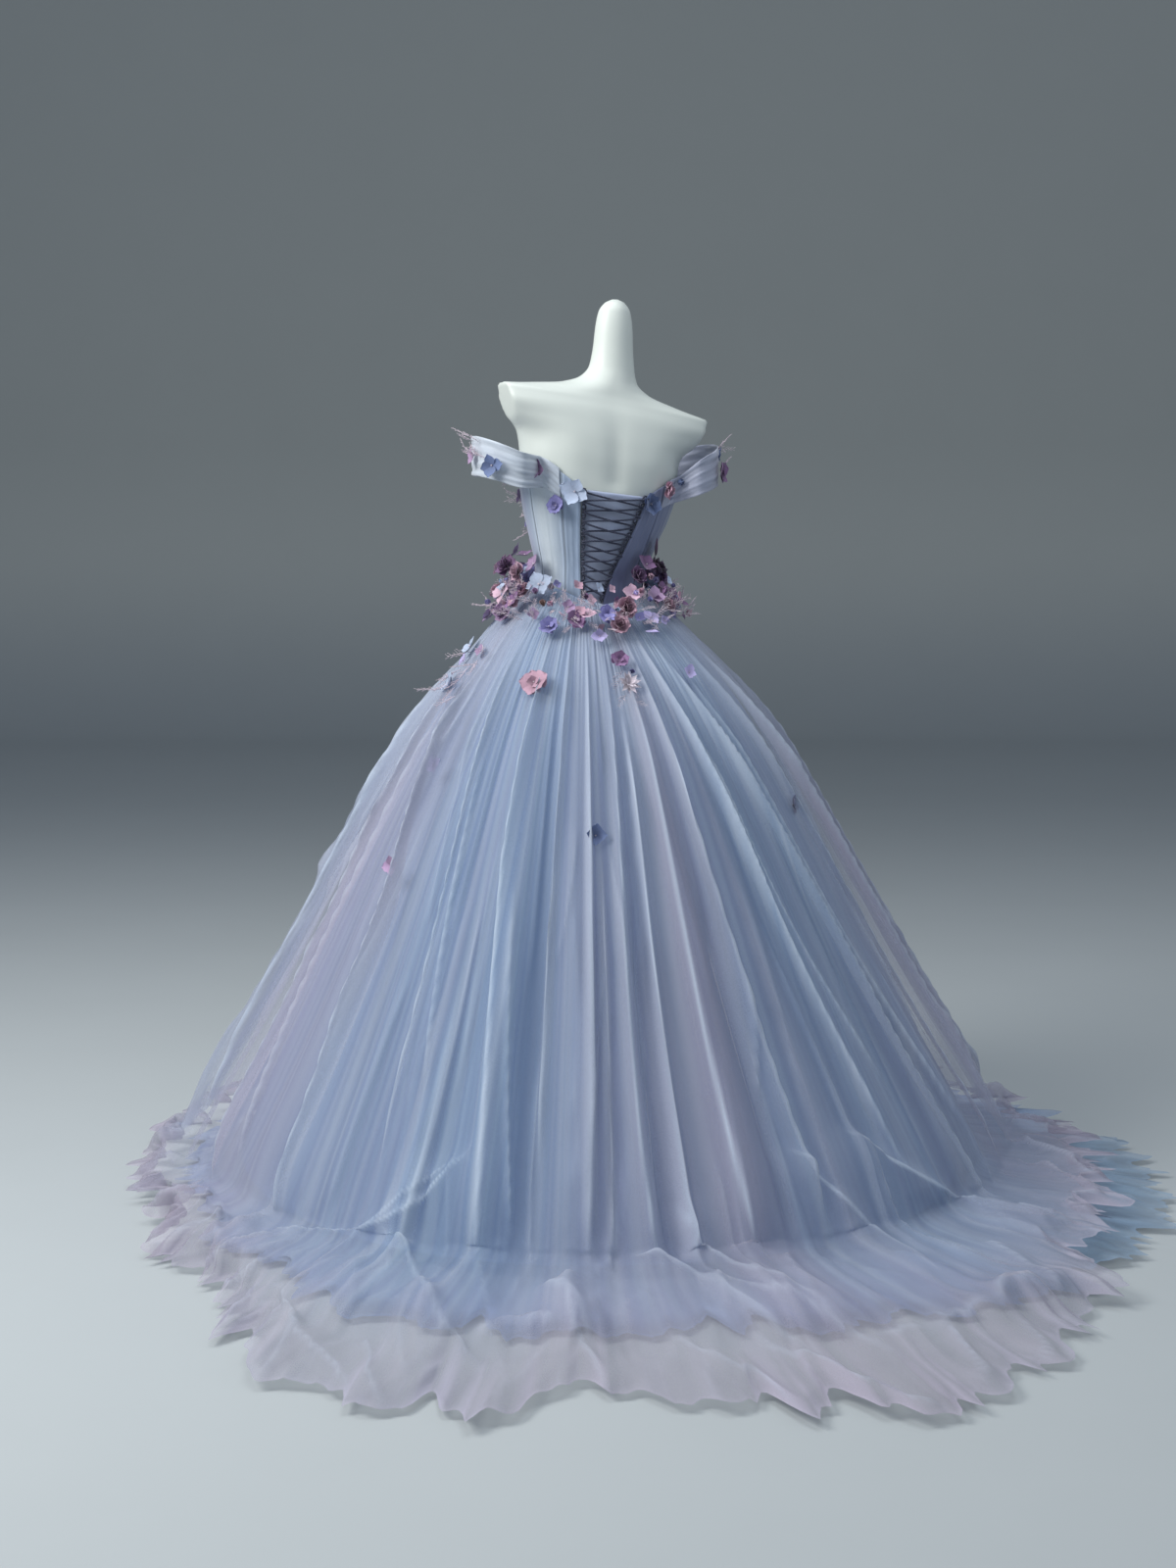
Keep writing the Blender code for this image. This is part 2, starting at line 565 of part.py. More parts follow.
def skirt_point(layer, angle, length):
    """A point on a skirt layer: it leaves the bodice at the waist, springs out, falls to the floor and lies there to
    its hem. length runs from 0 at the waist to 1 at the hem."""
    angle, length = np.broadcast_arrays(np.asarray(angle, float), np.asarray(length, float))
    hem_angles = column(HEMS, HEM_COLUMNS, "angle")
    meets = round_table(angle, hem_angles, column(HEMS, HEM_COLUMNS, "meets_floor")) - LAYER_INSET[layer]
    middle_hem = round_table(angle, hem_angles, column(HEMS, HEM_COLUMNS, "middle_hem"))
    outer_hem = round_table(angle, hem_angles, column(HEMS, HEM_COLUMNS, "outer_hem"))
    hem = {"under": meets + 0.02, "middle": middle_hem, "outer": outer_hem}[layer]

    waist_height = bodice_edge(angle - 90.0, "bottom") + SKIRT_TOP_LAP
    off = BODICE_EASE + BODICE_WALL + WAIST_LIFT[layer] + TULLE_WALL
    waist = torso_outline(angle, waist_height, off)

    turn = np.radians(angle)
    out = np.stack([np.cos(turn), np.sin(turn)], -1)
    fall = length / FLOOR_SHARE
    left = 1.0 - fall
    dropped = 0.5 * (left + np.sqrt(left * left + CORNER_WIDTH**2))
    dropped = dropped / (0.5 * (1.0 + math.sqrt(1.0 + CORNER_WIDTH**2)))
    gone = np.clip(1.0 - dropped, 0.0, 1.0)
    swell = gone + FALL_SWELL * gone * (1.0 - gone) ** 3
    beyond = np.clip((length - FLOOR_SHARE) / (1.0 - FLOOR_SHARE), 0.0, 1.0)
    beyond = beyond * beyond * (2.0 - beyond) if layer != "under" else 0.0 * beyond
    flat = waist[..., :2] + (meets[..., None] * out - waist[..., :2]) * swell[..., None]
    flat = flat + (hem - meets)[..., None] * out * beyond[..., None]
    reach = np.linalg.norm(flat, axis=-1)

    level = np.full(reach.shape, LAYER_FLOOR[layer])
    if layer == "outer":
        past = soft_step((reach - middle_hem - 0.015) / 0.09)
        level = level + (HEM_FLOOR - level) * past
    height = level + (waist_height - level) * dropped
    lying = soft_step((fall - 0.86) / 0.22)
    stands = fold_height(angle, length, FOLD_SCALE[layer])
    lean_out = 1.0 - lying
    flat = flat + out * (stands * (0.88 * lean_out + 0.10 * lying))[..., None]
    share_up = 0.45 * lean_out * soft_step(fall / 0.2) + 0.36 * lying
    flatten = 1.0 - 0.75 * soft_step((length - 0.90) / 0.10)
    height = height + stands * share_up * flatten
    return take_stance(np.concatenate([flat, height[..., None]], -1))


def skirt_normal(layer, angle, length):
    """Direction straight out of a skirt layer, from its slopes both ways."""
    step = 0.004
    low, high = np.clip(length - step, 0.0, 1.0), np.clip(length + step, 0.0, 1.0)
    down = skirt_point(layer, angle, high) - skirt_point(layer, angle, low)
    around = skirt_point(layer, angle + 0.6, length) - skirt_point(layer, angle - 0.6, length)
    return unit(np.cross(down, around))


def make_skirt_layer(layer, colour):
    """A layer cut in gores, sewn with a narrow gap at each seam. Returns each gore's outer grid."""
    grids = {}
    names = GORE_NAMES[layer]
    span = 360.0 / len(names)
    length = np.array(SKIRT_ROWS[layer])[:, None]
    for k, gore in enumerate(names):
        first = GORE_START[layer] + k * span
        share = np.linspace(0.0, 1.0, GORE_COLUMNS[layer] + 1)[None, :]
        angle = first + span * share + 0.0 * length
        reach = np.linalg.norm(skirt_point(layer, angle, length)[..., :2], axis=-1)
        slot = np.degrees(0.7 * SEAM_GAP / reach)
        angle[:, 0] += slot[:, 0]
        angle[:, -1] -= slot[:, -1]
        outer = skirt_point(layer, angle, length + 0.0 * angle)
        inner = outer - TULLE_WALL * skirt_normal(layer, angle, length + 0.0 * angle)
        name = f"skirt_{layer}_{gore}"
        wall(name, outer, inner, colour)
        grids[name] = outer
    return grids


# ------------------------------------------------------------------------------------------------------- the straps
def strap_end(side, turns, off):
    """A strap's end on the bodice, across its width and at each angle, as a grid that follows the bodice."""
    down = np.linspace(STRAP_END_TOP, STRAP_END_LOW, STRAP_ROWS)[:, None]
    return bodice_point(side * np.array(turns)[None, :] + 0.0 * down, down, off)


def strap_grid(side):
    """A strap's outer face, across its width and along it from the back round the arm to the front, on side 1 (the
    wearer's left) or -1, and its out direction."""
    off = BODICE_EASE + BODICE_WALL + STRAP_OFF_BODICE + TULLE_WALL
    arm = np.array(STRAP_ROUND_ARM, float)
    middle = arm[:, :3] * np.array([side, 1.0, 1.0])
    if side < 0:
        middle = middle + np.array([STRAP_RIGHT_SHIFT, 0.0, STRAP_RIGHT_DROP])
    share = np.linspace(0.5, -0.5, STRAP_ROWS)[:, None, None]
    round_arm = middle[None] + np.array([0.0, 0.0, 1.0]) * arm[None, :, 3:] * share
    face = np.concatenate([strap_end(side, STRAP_BACK_ENDS, off), round_arm, strap_end(side, STRAP_FRONT_ENDS, off)], 1)
    out = side * unit(np.cross(-np.gradient(face, axis=0), np.gradient(face, axis=1)))
    return face, out


def make_straps():
    """Each strap is a soft band round the arm, sewn to the bodice at the back and the front."""
    grids = {}
    for side, name in ((1.0, "strap_left"), (-1.0, "strap_right")):
        face, out = strap_grid(side)
        back = face - TULLE_WALL * out
        wall(name, face, back, "bodice_blue")
        grids[name] = face if side < 0 else face[:, ::-1]
    return grids


# ------------------------------------------------------------------------------------------------------ the flowers
def make_blossom(name, seat, out, radius, petals, colour, trees):
    """A cloth blossom as a shallow lobed disc, set down along out until it is just clear of what lies below it."""
    out = unit(np.asarray(out, float))
    side = unit(np.cross(out, np.array([0.0, 0.0, 1.0])))
    up = np.cross(side, out)
    count = petals * 3
    turns = np.arange(count) * 2.0 * np.pi / count
    rim = radius * (0.74 + 0.26 * np.cos(petals * turns))
    outline = rim[:, None] * (np.cos(turns)[:, None] * side[None] + np.sin(turns)[:, None] * up[None])
    between = np.linspace(0.0, 1.0, 5)[:, None, None]
    edge = (outline[None] * (1.0 - between) + np.roll(outline, -1, axis=0)[None] * between).reshape(-1, 3)
    lift = -1.0
    for share in np.linspace(0.0, 1.0, 16):
        for foot in seat + share * edge:
            for tree in trees:
                hit = tree.ray_cast(Vector(foot + out * 0.08), Vector(-out), 0.2)
                if hit[0] is not None:
                    lift = max(lift, float(np.dot(np.array(hit[0]) - seat, out)))
    lift += 2.0 * CLEAR
    rings = []
    for share, height in ((0.35, 0.0), (1.0, 0.0), (1.0, 0.0018), (0.35, 0.0032)):
        rings.append(seat + share * outline + out * (lift + height))
    stacked_rings(name, np.array(rings), colour)


def make_spray(name, grid, rows, columns, thick, lumps, colour):
    """A plain body of a spray's reach: its back follows the cloth it is sewn to, its face swells in lumps."""
    seat = grid[rows[0] : rows[1] + 1, columns[0] : columns[1] + 1]
    normal = unit(np.cross(np.gradient(seat, axis=0), np.gradient(seat, axis=1)))
    share_down = np.linspace(0.0, 1.0, seat.shape[0])[:, None]
    share_round = np.linspace(0.0, 1.0, seat.shape[1])[None, :]
    swell = np.sin(np.pi * (0.14 + 0.72 * share_down)) * (0.6 + 0.4 * np.sin(np.pi * share_round * lumps) ** 2)
    back = seat + normal * SPRAY_LIFT
    wall(name, back + normal * thick * swell[..., None], back, colour)


def tree_of(names):
    """Search trees over the named bodies."""
    trees = []
    for name in names:
        mesh = bpy.data.objects[name].data
        trees.append(BVHTree.FromPolygons([v.co for v in mesh.vertices], [p.vertices for p in mesh.polygons]))
    return trees


def make_flowers(grids):
    """The sprays on the skirt's top, the hip, the bodice and the straps, then the single blossoms."""
    for name, sewn_to, rows, columns, thick, lumps, colour in SPRAYS:
        make_spray(name, grids[sewn_to], rows, columns, thick, lumps, colour)
    trees = tree_of([name for name in grids if name.startswith("skirt_outer")])
    for name, angle, length, radius, colour in SKIRT_BLOSSOMS:
        seat = skirt_point("outer", angle, length)
        out = skirt_normal("outer", np.array(angle), np.array(length))
        make_blossom(name, seat, out, radius, 4, colour, trees)
    trees = tree_of([name for name in grids if name.startswith(("bodice", "strap"))] + ["loops_left", "loops_right", "lace_under", "lace_over"])
    for name, from_back, down, radius, petals, colour in NECK_BLOSSOMS:
        seat = bodice_point(np.array(from_back), np.array(down), BODICE_EASE + BODICE_WALL)
        inside = bodice_point(np.array(from_back), np.array(down), 0.0)
        make_blossom(name, seat, seat - inside, radius, petals, colour, trees)


def main():
    for old in list(bpy.data.objects):
        bpy.data.objects.remove(old)
    make_form()
    make_stand()
    bodice = make_bodice()
    make_modesty_panel()
    make_loop_strips()
    make_lace()
    skirt = {}
    for layer, colour in (("under", "tulle_deep"), ("middle", "tulle_blue"), ("outer", "tulle_lilac")):
        skirt.update(make_skirt_layer(layer, colour))
    make_flowers({**bodice, **skirt, **make_straps()})


main()
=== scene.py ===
"""Ball gown on a dress form: the cloth, the lacing, the cloth flowers, the form and the studio.

Metres, +Z up. The gown's front faces -Y and its laced back +Y, the wearer's left is +X, and the floor is at
0. Angles are in degrees round +Z from +X, so the centre back is at 90.
"""

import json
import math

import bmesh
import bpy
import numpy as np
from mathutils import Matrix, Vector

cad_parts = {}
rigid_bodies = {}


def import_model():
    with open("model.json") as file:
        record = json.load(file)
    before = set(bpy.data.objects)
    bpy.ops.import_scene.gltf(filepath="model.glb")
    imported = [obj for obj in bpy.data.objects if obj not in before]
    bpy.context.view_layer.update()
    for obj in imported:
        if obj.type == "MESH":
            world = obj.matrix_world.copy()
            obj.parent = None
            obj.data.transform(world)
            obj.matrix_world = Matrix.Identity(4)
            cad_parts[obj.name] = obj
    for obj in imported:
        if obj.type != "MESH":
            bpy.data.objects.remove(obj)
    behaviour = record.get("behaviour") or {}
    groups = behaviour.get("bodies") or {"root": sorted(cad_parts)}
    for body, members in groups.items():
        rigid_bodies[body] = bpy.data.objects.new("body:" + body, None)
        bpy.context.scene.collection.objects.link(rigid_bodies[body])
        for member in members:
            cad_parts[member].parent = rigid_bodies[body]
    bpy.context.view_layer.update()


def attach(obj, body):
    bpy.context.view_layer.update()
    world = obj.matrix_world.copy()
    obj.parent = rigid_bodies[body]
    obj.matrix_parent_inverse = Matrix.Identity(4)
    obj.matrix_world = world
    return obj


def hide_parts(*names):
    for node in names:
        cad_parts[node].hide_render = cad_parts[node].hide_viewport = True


bl_info = {
    "name": "Ball gown on a dress form",
    "version": (1, 0, 0),
    "blender": (4, 5, 0),
    "location": "3D View > Sidebar > Gown",
    "description": "Makes a layered tulle ball gown with a laced bodice and cloth flowers on a dress form",
    "category": "Add Mesh",
}

for leftover in list(bpy.data.objects):
    bpy.data.objects.remove(leftover)

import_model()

BODY = "root"  # the gown, its form and its stand are one body


# -------------------- the form and the bodice
FORM_COLUMNS = ("height", "half_width", "front", "back", "power")
FORM_RINGS = (
    (0.780, 0.135, 0.085, 0.095, 2.2),
    (0.840, 0.150, 0.097, 0.111, 2.2),
    (0.900, 0.156, 0.099, 0.117, 2.1),
    (0.960, 0.138, 0.090, 0.104, 2.0),
    (1.020, 0.106, 0.078, 0.083, 2.0),
    (1.060, 0.094, 0.073, 0.073, 2.0),
    (1.100, 0.097, 0.078, 0.072, 2.0),
    (1.150, 0.112, 0.093, 0.079, 2.05),
    (1.200, 0.128, 0.113, 0.086, 2.1),
    (1.250, 0.141, 0.124, 0.090, 2.1),
    (1.290, 0.147, 0.122, 0.090, 2.1),
    (1.330, 0.158, 0.101, 0.086, 2.1),
    (1.360, 0.190, 0.081, 0.079, 2.1),
    (1.385, 0.215, 0.066, 0.070, 2.2),
    (1.403, 0.215, 0.056, 0.060, 2.2),
    (1.416, 0.150, 0.050, 0.054, 2.1),
    (1.430, 0.083, 0.046, 0.050, 2.0),
    (1.446, 0.053, 0.042, 0.045, 2.0),
    (1.466, 0.042, 0.038, 0.040, 2.0),
    (1.500, 0.037, 0.034, 0.036, 2.0),
    (1.540, 0.034, 0.031, 0.033, 2.0),
    (1.568, 0.029, 0.027, 0.028, 2.0),
    (1.584, 0.018, 0.017, 0.018, 2.0),
    (1.590, 0.006, 0.006, 0.006, 2.0),
)
ARM_CUT_HALF = 0.193  # where the shoulders are cut off flat, at ARM_CUT_HEIGHT
ARM_CUT_HEIGHT = 1.403
ARM_CUT_SLOPE = 0.35
ARM_CUT_LOWEST = 1.300

# How the form stands: its middle drifts to the wearer's right and its left shoulder lifts, by height.
STANCE_COLUMNS = ("height", "shift", "tilt")
STANCE = (
    (0.950, 0.000, 0.0),
    (1.050, 0.000, 2.0),
    (1.150, -0.009, 5.0),
    (1.250, -0.020, 7.0),
    (1.350, -0.026, 9.5),
    (1.420, -0.032, 9.5),
    (1.470, -0.046, 6.0),
    (1.600, -0.052, 0.0),
)

BODICE_EDGE_COLUMNS = ("from_back", "top", "bottom")
BODICE_EDGES = (
    (0.0, 1.246, 1.034),
    (24.0, 1.246, 1.044),
    (37.5, 1.264, 1.052),
    (55.0, 1.284, 1.060),
    (75.0, 1.290, 1.064),
    (90.0, 1.284, 1.066),
    (112.5, 1.284, 1.062),
    (130.0, 1.292, 1.056),
    (150.0, 1.302, 1.047),
    (165.0, 1.292, 1.038),
    (180.0, 1.262, 1.030),
)
LACED_EDGE_COLUMNS = ("down", "left", "right")
LACED_EDGES = (
    (0.0, 26.0, -26.0),
    (0.5, 26.0, -16.0),
    (1.0, 23.0, 3.0),
)
BODICE_SEAMS = (41.0, 75.0, 112.5, 150.0)
BODICE_EASE = 0.0026  # from the form to the inside of the bodice
BODICE_WALL = 0.0020
MODESTY_EASE = 0.0014
TULLE_WALL = 0.0011
CLEAR = 0.0004
BODICE_RADIUS = 0.11
LACE_RADIUS = 0.0018
LACE_CROSSINGS = 10
LACED_SHARE = 0.92
LOOP_REACH = 0.007
LOOP_THICK = 0.0030


# -------------------- the straps
# Stations of the left strap's middle line round the arm, from back to front: x, y, z and the strap's width
# there.
STRAP_ROUND_ARM = (
    (0.152, 0.0800, 1.285, 0.062),
    (0.190, 0.0600, 1.299, 0.068),
    (0.211, 0.0200, 1.308, 0.070),
    (0.212, -0.0250, 1.310, 0.070),
    (0.194, -0.0700, 1.307, 0.068),
    (0.165, -0.1020, 1.302, 0.062),
)
STRAP_BACK_ENDS = (42.0, 50.0, 58.0)
STRAP_FRONT_ENDS = (128.0, 136.0, 143.0)
STRAP_END_TOP = -0.02
STRAP_END_LOW = 0.21
STRAP_OFF_BODICE = 0.0012
STRAP_RIGHT_SHIFT = -0.036
STRAP_RIGHT_DROP = -0.014


# -------------------- the skirt
SKIRT_TOP_LAP = 0.010
WAIST_LIFT = {"under": 0.0016, "middle": 0.0044, "outer": 0.0074}
FLOOR_SHARE = 0.80  # share of a layer's length that falls; the rest lies on the floor
FALL_SWELL = 0.72
CORNER_WIDTH = 0.07
LAYER_INSET = {"under": 0.104, "middle": 0.052, "outer": 0.0}
LAYER_FLOOR = {"under": 0.018, "middle": 0.004, "outer": 0.032}
FOLD_SCALE = {"under": 0.50, "middle": 0.70, "outer": 1.0}
HEM_FLOOR = 0.0035
LOWEST_CLOTH = 0.0016
WAIST_PACKED = 0.34  # the distance from the axis within which the gathers pack the net together
DEGREE_AT_HEM = 0.0145  # metres round the skirt for a degree, where its creases' widths are given
LENGTH_OF_SKIRT = 1.7  # metres down the skirt for the whole length

HEM_COLUMNS = ("angle", "meets_floor", "middle_hem", "outer_hem")
HEMS = (
    (0.0, 0.755, 0.770, 0.860),
    (24.0, 0.775, 0.850, 0.965),
    (40.0, 0.790, 0.930, 1.130),
    (52.0, 0.800, 0.985, 1.290),
    (62.0, 0.805, 1.000, 1.330),
    (71.0, 0.805, 0.975, 1.190),
    (82.0, 0.810, 1.000, 1.340),
    (94.0, 0.815, 1.040, 1.370),
    (108.0, 0.820, 1.080, 1.230),
    (124.0, 0.815, 1.130, 1.100),
    (142.0, 0.800, 1.110, 1.010),
    (158.0, 0.790, 1.050, 0.950),
    (183.0, 0.770, 0.930, 0.880),
    (205.0, 0.760, 0.830, 0.850),
    (235.0, 0.750, 0.770, 0.820),
    (270.0, 0.745, 0.760, 0.810),
    (305.0, 0.745, 0.760, 0.815),
    (335.0, 0.750, 0.765, 0.835),
)

# The largest folds, shared by every layer: the angle where each leaves the waist, how far it turns by the
# hem, where it starts as a share of the length, half its width in degrees, and how far its ridge stands
# out.
FOLDS = (
    (-14.0, -2.0, 0.06, 5.2, 0.040),
    (2.0, -3.0, 0.12, 4.4, 0.030),
    (15.0, -2.0, 0.05, 5.6, 0.044),
    (31.0, 3.0, 0.10, 4.6, 0.034),
    (44.0, 3.0, 0.16, 4.0, 0.028),
    (56.0, 0.0, 0.05, 4.8, 0.040),
    (67.0, 2.0, 0.10, 3.6, 0.034),
    (77.0, 1.0, 0.22, 3.4, 0.026),
    (88.0, 4.0, 0.04, 5.4, 0.050),
    (101.0, 5.0, 0.12, 4.2, 0.034),
    (112.0, 8.0, 0.06, 4.8, 0.044),
    (125.0, 9.0, 0.14, 4.2, 0.032),
    (138.0, 9.0, 0.05, 5.2, 0.046),
    (153.0, 8.0, 0.12, 4.6, 0.034),
    (168.0, 6.0, 0.06, 5.4, 0.042),
    (184.0, 4.0, 0.14, 4.4, 0.030),
    (199.0, 2.0, 0.05, 5.6, 0.040),
    (214.0, 0.0, 0.12, 4.4, 0.032),
    (229.0, -2.0, 0.06, 5.4, 0.042),
    (245.0, 0.0, 0.16, 4.6, 0.030),
    (259.0, 2.0, 0.05, 5.2, 0.040),
    (275.0, -1.0, 0.12, 4.4, 0.032),
    (290.0, -3.0, 0.06, 5.6, 0.042),
    (306.0, 0.0, 0.14, 4.4, 0.030),
    (322.0, 2.0, 0.06, 5.4, 0.038),
    (335.0, 1.0, 0.14, 4.0, 0.028),
)

# Creases placed one by one on the outer layer: the angle and share of the length where each starts, and
# where it ends, how far its middle bows aside in degrees, half its width, its height, and its lean. A lean
# above 0 makes the side of higher angles the gentle one, and a height below 0 makes a trough.
OUTER_CREASES = (
    # the falling folds, round the back
    (-16.0, 0.05, -10.0, 0.80, 1.0, 0.010, 0.016, -0.6),
    (3.0, 0.04, 12.5, 0.86, 0.0, 0.009, 0.017, 0.5),
    (9.0, 0.10, 17.0, 0.80, -1.0, 0.007, 0.010, 0.0),
    (18.0, 0.04, 29.0, 0.88, 2.6, 0.010, 0.028, 0.7),
    (23.0, 0.30, 23.0, 0.84, 1.0, 0.022, -0.020, 0.0),
    (34.0, 0.03, 42.0, 0.74, 2.0, 0.008, 0.015, 0.4),
    (39.0, 0.18, 46.0, 0.62, 0.0, 0.006, 0.010, -0.5),
    (51.0, 0.03, 58.0, 0.90, 0.6, 0.012, 0.024, 0.6),
    (56.0, 0.35, 61.5, 0.80, -0.6, 0.006, 0.009, 0.0),
    (62.5, 0.02, 64.0, 0.72, 0.2, 0.006, 0.013, -0.4),
    (71.5, 0.03, 70.0, 0.86, -0.6, 0.007, 0.018, 0.3),
    (73.5, 0.30, 72.0, 0.88, 0.5, 0.005, 0.012, -0.3),
    (80.0, 0.04, 78.5, 0.90, -2.2, 0.008, 0.016, -0.3),
    (79.5, 0.36, 80.0, 0.86, 0.0, 0.024, -0.026, 0.0),
    (83.0, 0.10, 82.0, 0.92, -0.4, 0.010, 0.026, 0.7),
    (88.5, 0.03, 89.5, 0.90, -1.0, 0.020, 0.018, 0.3),
    (92.5, 0.36, 94.0, 0.84, 0.6, 0.016, -0.014, 0.0),
    (94.5, 0.03, 99.5, 0.82, -1.0, 0.009, 0.019, -0.4),
    (101.0, 0.03, 113.5, 0.76, 1.4, 0.009, 0.018, 0.5),
    (105.0, 0.14, 116.0, 0.66, 0.0, 0.006, 0.011, -0.3),
    (109.0, 0.03, 127.0, 0.92, 3.4, 0.010, 0.020, -0.5),
    (118.0, 0.08, 130.0, 0.74, 0.0, 0.008, 0.015, 0.4),
    (128.0, 0.04, 138.5, 0.84, 1.6, 0.010, 0.018, -0.5),
    (139.0, 0.05, 152.0, 0.80, 1.0, 0.009, 0.018, 0.5),
    (150.0, 0.12, 158.0, 0.74, 0.0, 0.007, 0.012, 0.0),
    (162.0, 0.04, 171.0, 0.88, 1.0, 0.010, 0.020, -0.5),
    # the same sort of folds, round the front
    (177.0, 0.08, 183.0, 0.80, -1.0, 0.008, 0.014, 0.5),
    (191.0, 0.04, 196.0, 0.92, 1.0, 0.011, 0.022, 0.5),
    (203.0, 0.14, 205.0, 0.72, 0.5, 0.007, 0.012, -0.4),
    (210.0, 0.20, 211.0, 0.86, 0.0, 0.022, -0.018, 0.0),
    (218.0, 0.04, 217.0, 0.84, -1.2, 0.009, 0.018, 0.4),
    (233.0, 0.06, 231.0, 0.92, 1.0, 0.012, 0.022, -0.6),
    (241.0, 0.22, 242.0, 0.76, 0.0, 0.006, 0.011, 0.3),
    (249.0, 0.04, 251.0, 0.88, 0.8, 0.009, 0.018, 0.5),
    (257.0, 0.30, 257.0, 0.86, 0.0, 0.020, -0.018, 0.0),
    (264.0, 0.05, 266.0, 0.80, -0.8, 0.010, 0.019, -0.4),
    (279.0, 0.04, 278.0, 0.90, 1.0, 0.010, 0.021, 0.5),
    (286.0, 0.20, 285.0, 0.70, 0.0, 0.006, 0.010, 0.0),
    (297.0, 0.05, 294.0, 0.86, -1.0, 0.011, 0.021, -0.5),
    (303.0, 0.34, 302.0, 0.84, 0.0, 0.020, -0.017, 0.0),
    (311.0, 0.04, 312.0, 0.80, 0.8, 0.008, 0.016, 0.4),
    (327.0, 0.06, 329.0, 0.90, 1.0, 0.010, 0.020, 0.5),
    # where the train turns onto the floor
    (95.0, 0.67, 103.0, 0.92, 4.5, 0.016, 0.014, -0.6),
    (103.5, 0.66, 123.0, 0.96, 5.0, 0.016, 0.016, -0.7),
    (113.0, 0.76, 112.0, 0.97, 4.0, 0.035, -0.012, 0.0),
    (74.5, 0.80, 87.0, 0.95, 1.0, 0.014, 0.021, 0.5),
    (81.0, 0.72, 91.0, 0.93, -2.0, 0.013, 0.019, 0.5),
    (90.0, 0.93, 112.0, 0.95, 0.5, 0.015, 0.019, -0.5),
    (80.0, 0.86, 92.5, 0.95, 1.0, 0.013, 0.015, 0.5),
    (56.0, 0.66, 29.0, 0.87, 3.0, 0.016, 0.014, 0.6),
    (55.0, 0.68, 43.0, 0.91, -5.0, 0.016, 0.011, -0.5),
    (45.5, 0.78, 63.0, 0.95, -1.5, 0.014, 0.020, -0.6),
    (60.5, 0.92, 68.0, 0.93, 1.5, 0.011, 0.021, 0.0),
    (68.5, 0.84, 71.5, 1.00, -1.6, 0.013, 0.021, 0.4),
    (65.0, 0.86, 70.0, 0.96, 1.0, 0.025, 0.019, 0.0),
    (39.0, 0.92, 55.0, 1.00, 1.0, 0.011, 0.015, 0.5),
    (52.0, 0.93, 57.5, 1.00, 0.0, 0.010, 0.012, -0.4),
    (46.0, 0.94, 48.0, 1.00, 0.6, 0.010, 0.011, 0.4),
    (33.0, 0.86, 28.0, 1.00, 0.5, 0.011, 0.016, 0.3),
    (37.5, 0.90, 33.5, 1.00, 0.0, 0.010, 0.015, -0.3),
    (38.0, 0.93, 39.5, 1.00, 0.0, 0.010, 0.014, 0.3),
    (98.0, 0.92, 95.0, 0.99, 0.8, 0.011, 0.016, 0.4),
    (83.0, 0.91, 92.0, 1.00, -1.0, 0.013, 0.016, -0.4),
    (76.0, 0.92, 83.0, 1.00, 0.8, 0.011, 0.014, 0.4),
    (104.0, 0.95, 101.0, 1.00, 0.5, 0.010, 0.012, 0.0),
    (114.0, 0.88, 110.0, 0.98, 0.5, 0.011, 0.015, 0.5),
    (142.0, 0.86, 130.0, 0.99, 1.0, 0.013, 0.016, -0.5),
    (150.0, 0.82, 140.0, 0.99, -1.2, 0.014, 0.016, 0.4),
    (163.0, 0.84, 156.0, 1.00, 1.0, 0.014, 0.015, -0.4),
    (176.0, 0.86, 170.0, 1.00, 0.6, 0.013, 0.012, 0.4),
    (14.0, 0.84, 10.0, 1.00, -0.6, 0.013, 0.014, 0.4),
    (22.0, 0.86, 20.0, 1.00, 0.6, 0.011, 0.014, -0.4),
)


# -------------------- small helpers
def column(table, columns, name):
    """One named column of a table, as an array."""
    at = columns.index(name)
    return np.array([row[at] for row in table], float)


def soft_step(x):
    """0 below 0, 1 above 1, and 3x^2 - 2x^3 between."""
    x = np.clip(x, 0.0, 1.0)
    return x * x * (3.0 - 2.0 * x)


def hill(x, width):
    """A bell curve, exp(-(x / width)^2)."""
    return np.exp(-((x / width) ** 2))


def along(x, xs, ys):
    """Reads a table at x with a smooth curve through its rows: Hermite, its slopes limited to stop
    overshoots."""
    xs, ys = np.asarray(xs, float), np.asarray(ys, float)
    steps = np.diff(ys) / np.diff(xs)
    slopes = np.empty_like(ys)
    slopes[0], slopes[-1] = steps[0], steps[-1]
    same_way = steps[:-1] * steps[1:] > 0
    total = np.where(same_way, steps[:-1] + steps[1:], 1.0)
    slopes[1:-1] = np.where(same_way, 2.0 * steps[:-1] * steps[1:] / total, 0.0)
    x = np.clip(x, xs[0], xs[-1])
    i = np.clip(np.searchsorted(xs, x, side="right") - 1, 0, len(xs) - 2)
    width = xs[i + 1] - xs[i]
    u = (x - xs[i]) / width
    rise = u * u * (3.0 - 2.0 * u)
    return (
        ys[i] * (1.0 - rise)
        + ys[i + 1] * rise
        + width * slopes[i] * u * (1.0 - u) ** 2
        - width * slopes[i + 1] * u * u * (1.0 - u)
    )


def round_table(angle, angles, values):
    """Reads a table that closes on itself after 360 degrees."""
    xs = np.concatenate([angles - 360.0, angles, angles + 360.0])
    return along(np.mod(angle, 360.0), xs, np.tile(values, 3))


def unit(vectors):
    """Vectors made 1 long."""
    return vectors / np.maximum(np.linalg.norm(vectors, axis=-1, keepdims=True), 1e-12)


def shade(red, green, blue):
    """A display colour, 0 to 255, as the linear colour a shader takes."""
    share = np.array([red, green, blue], float) / 255.0
    return np.where(share < 0.04045, share / 12.92, ((share + 0.055) / 1.055) ** 2.4)


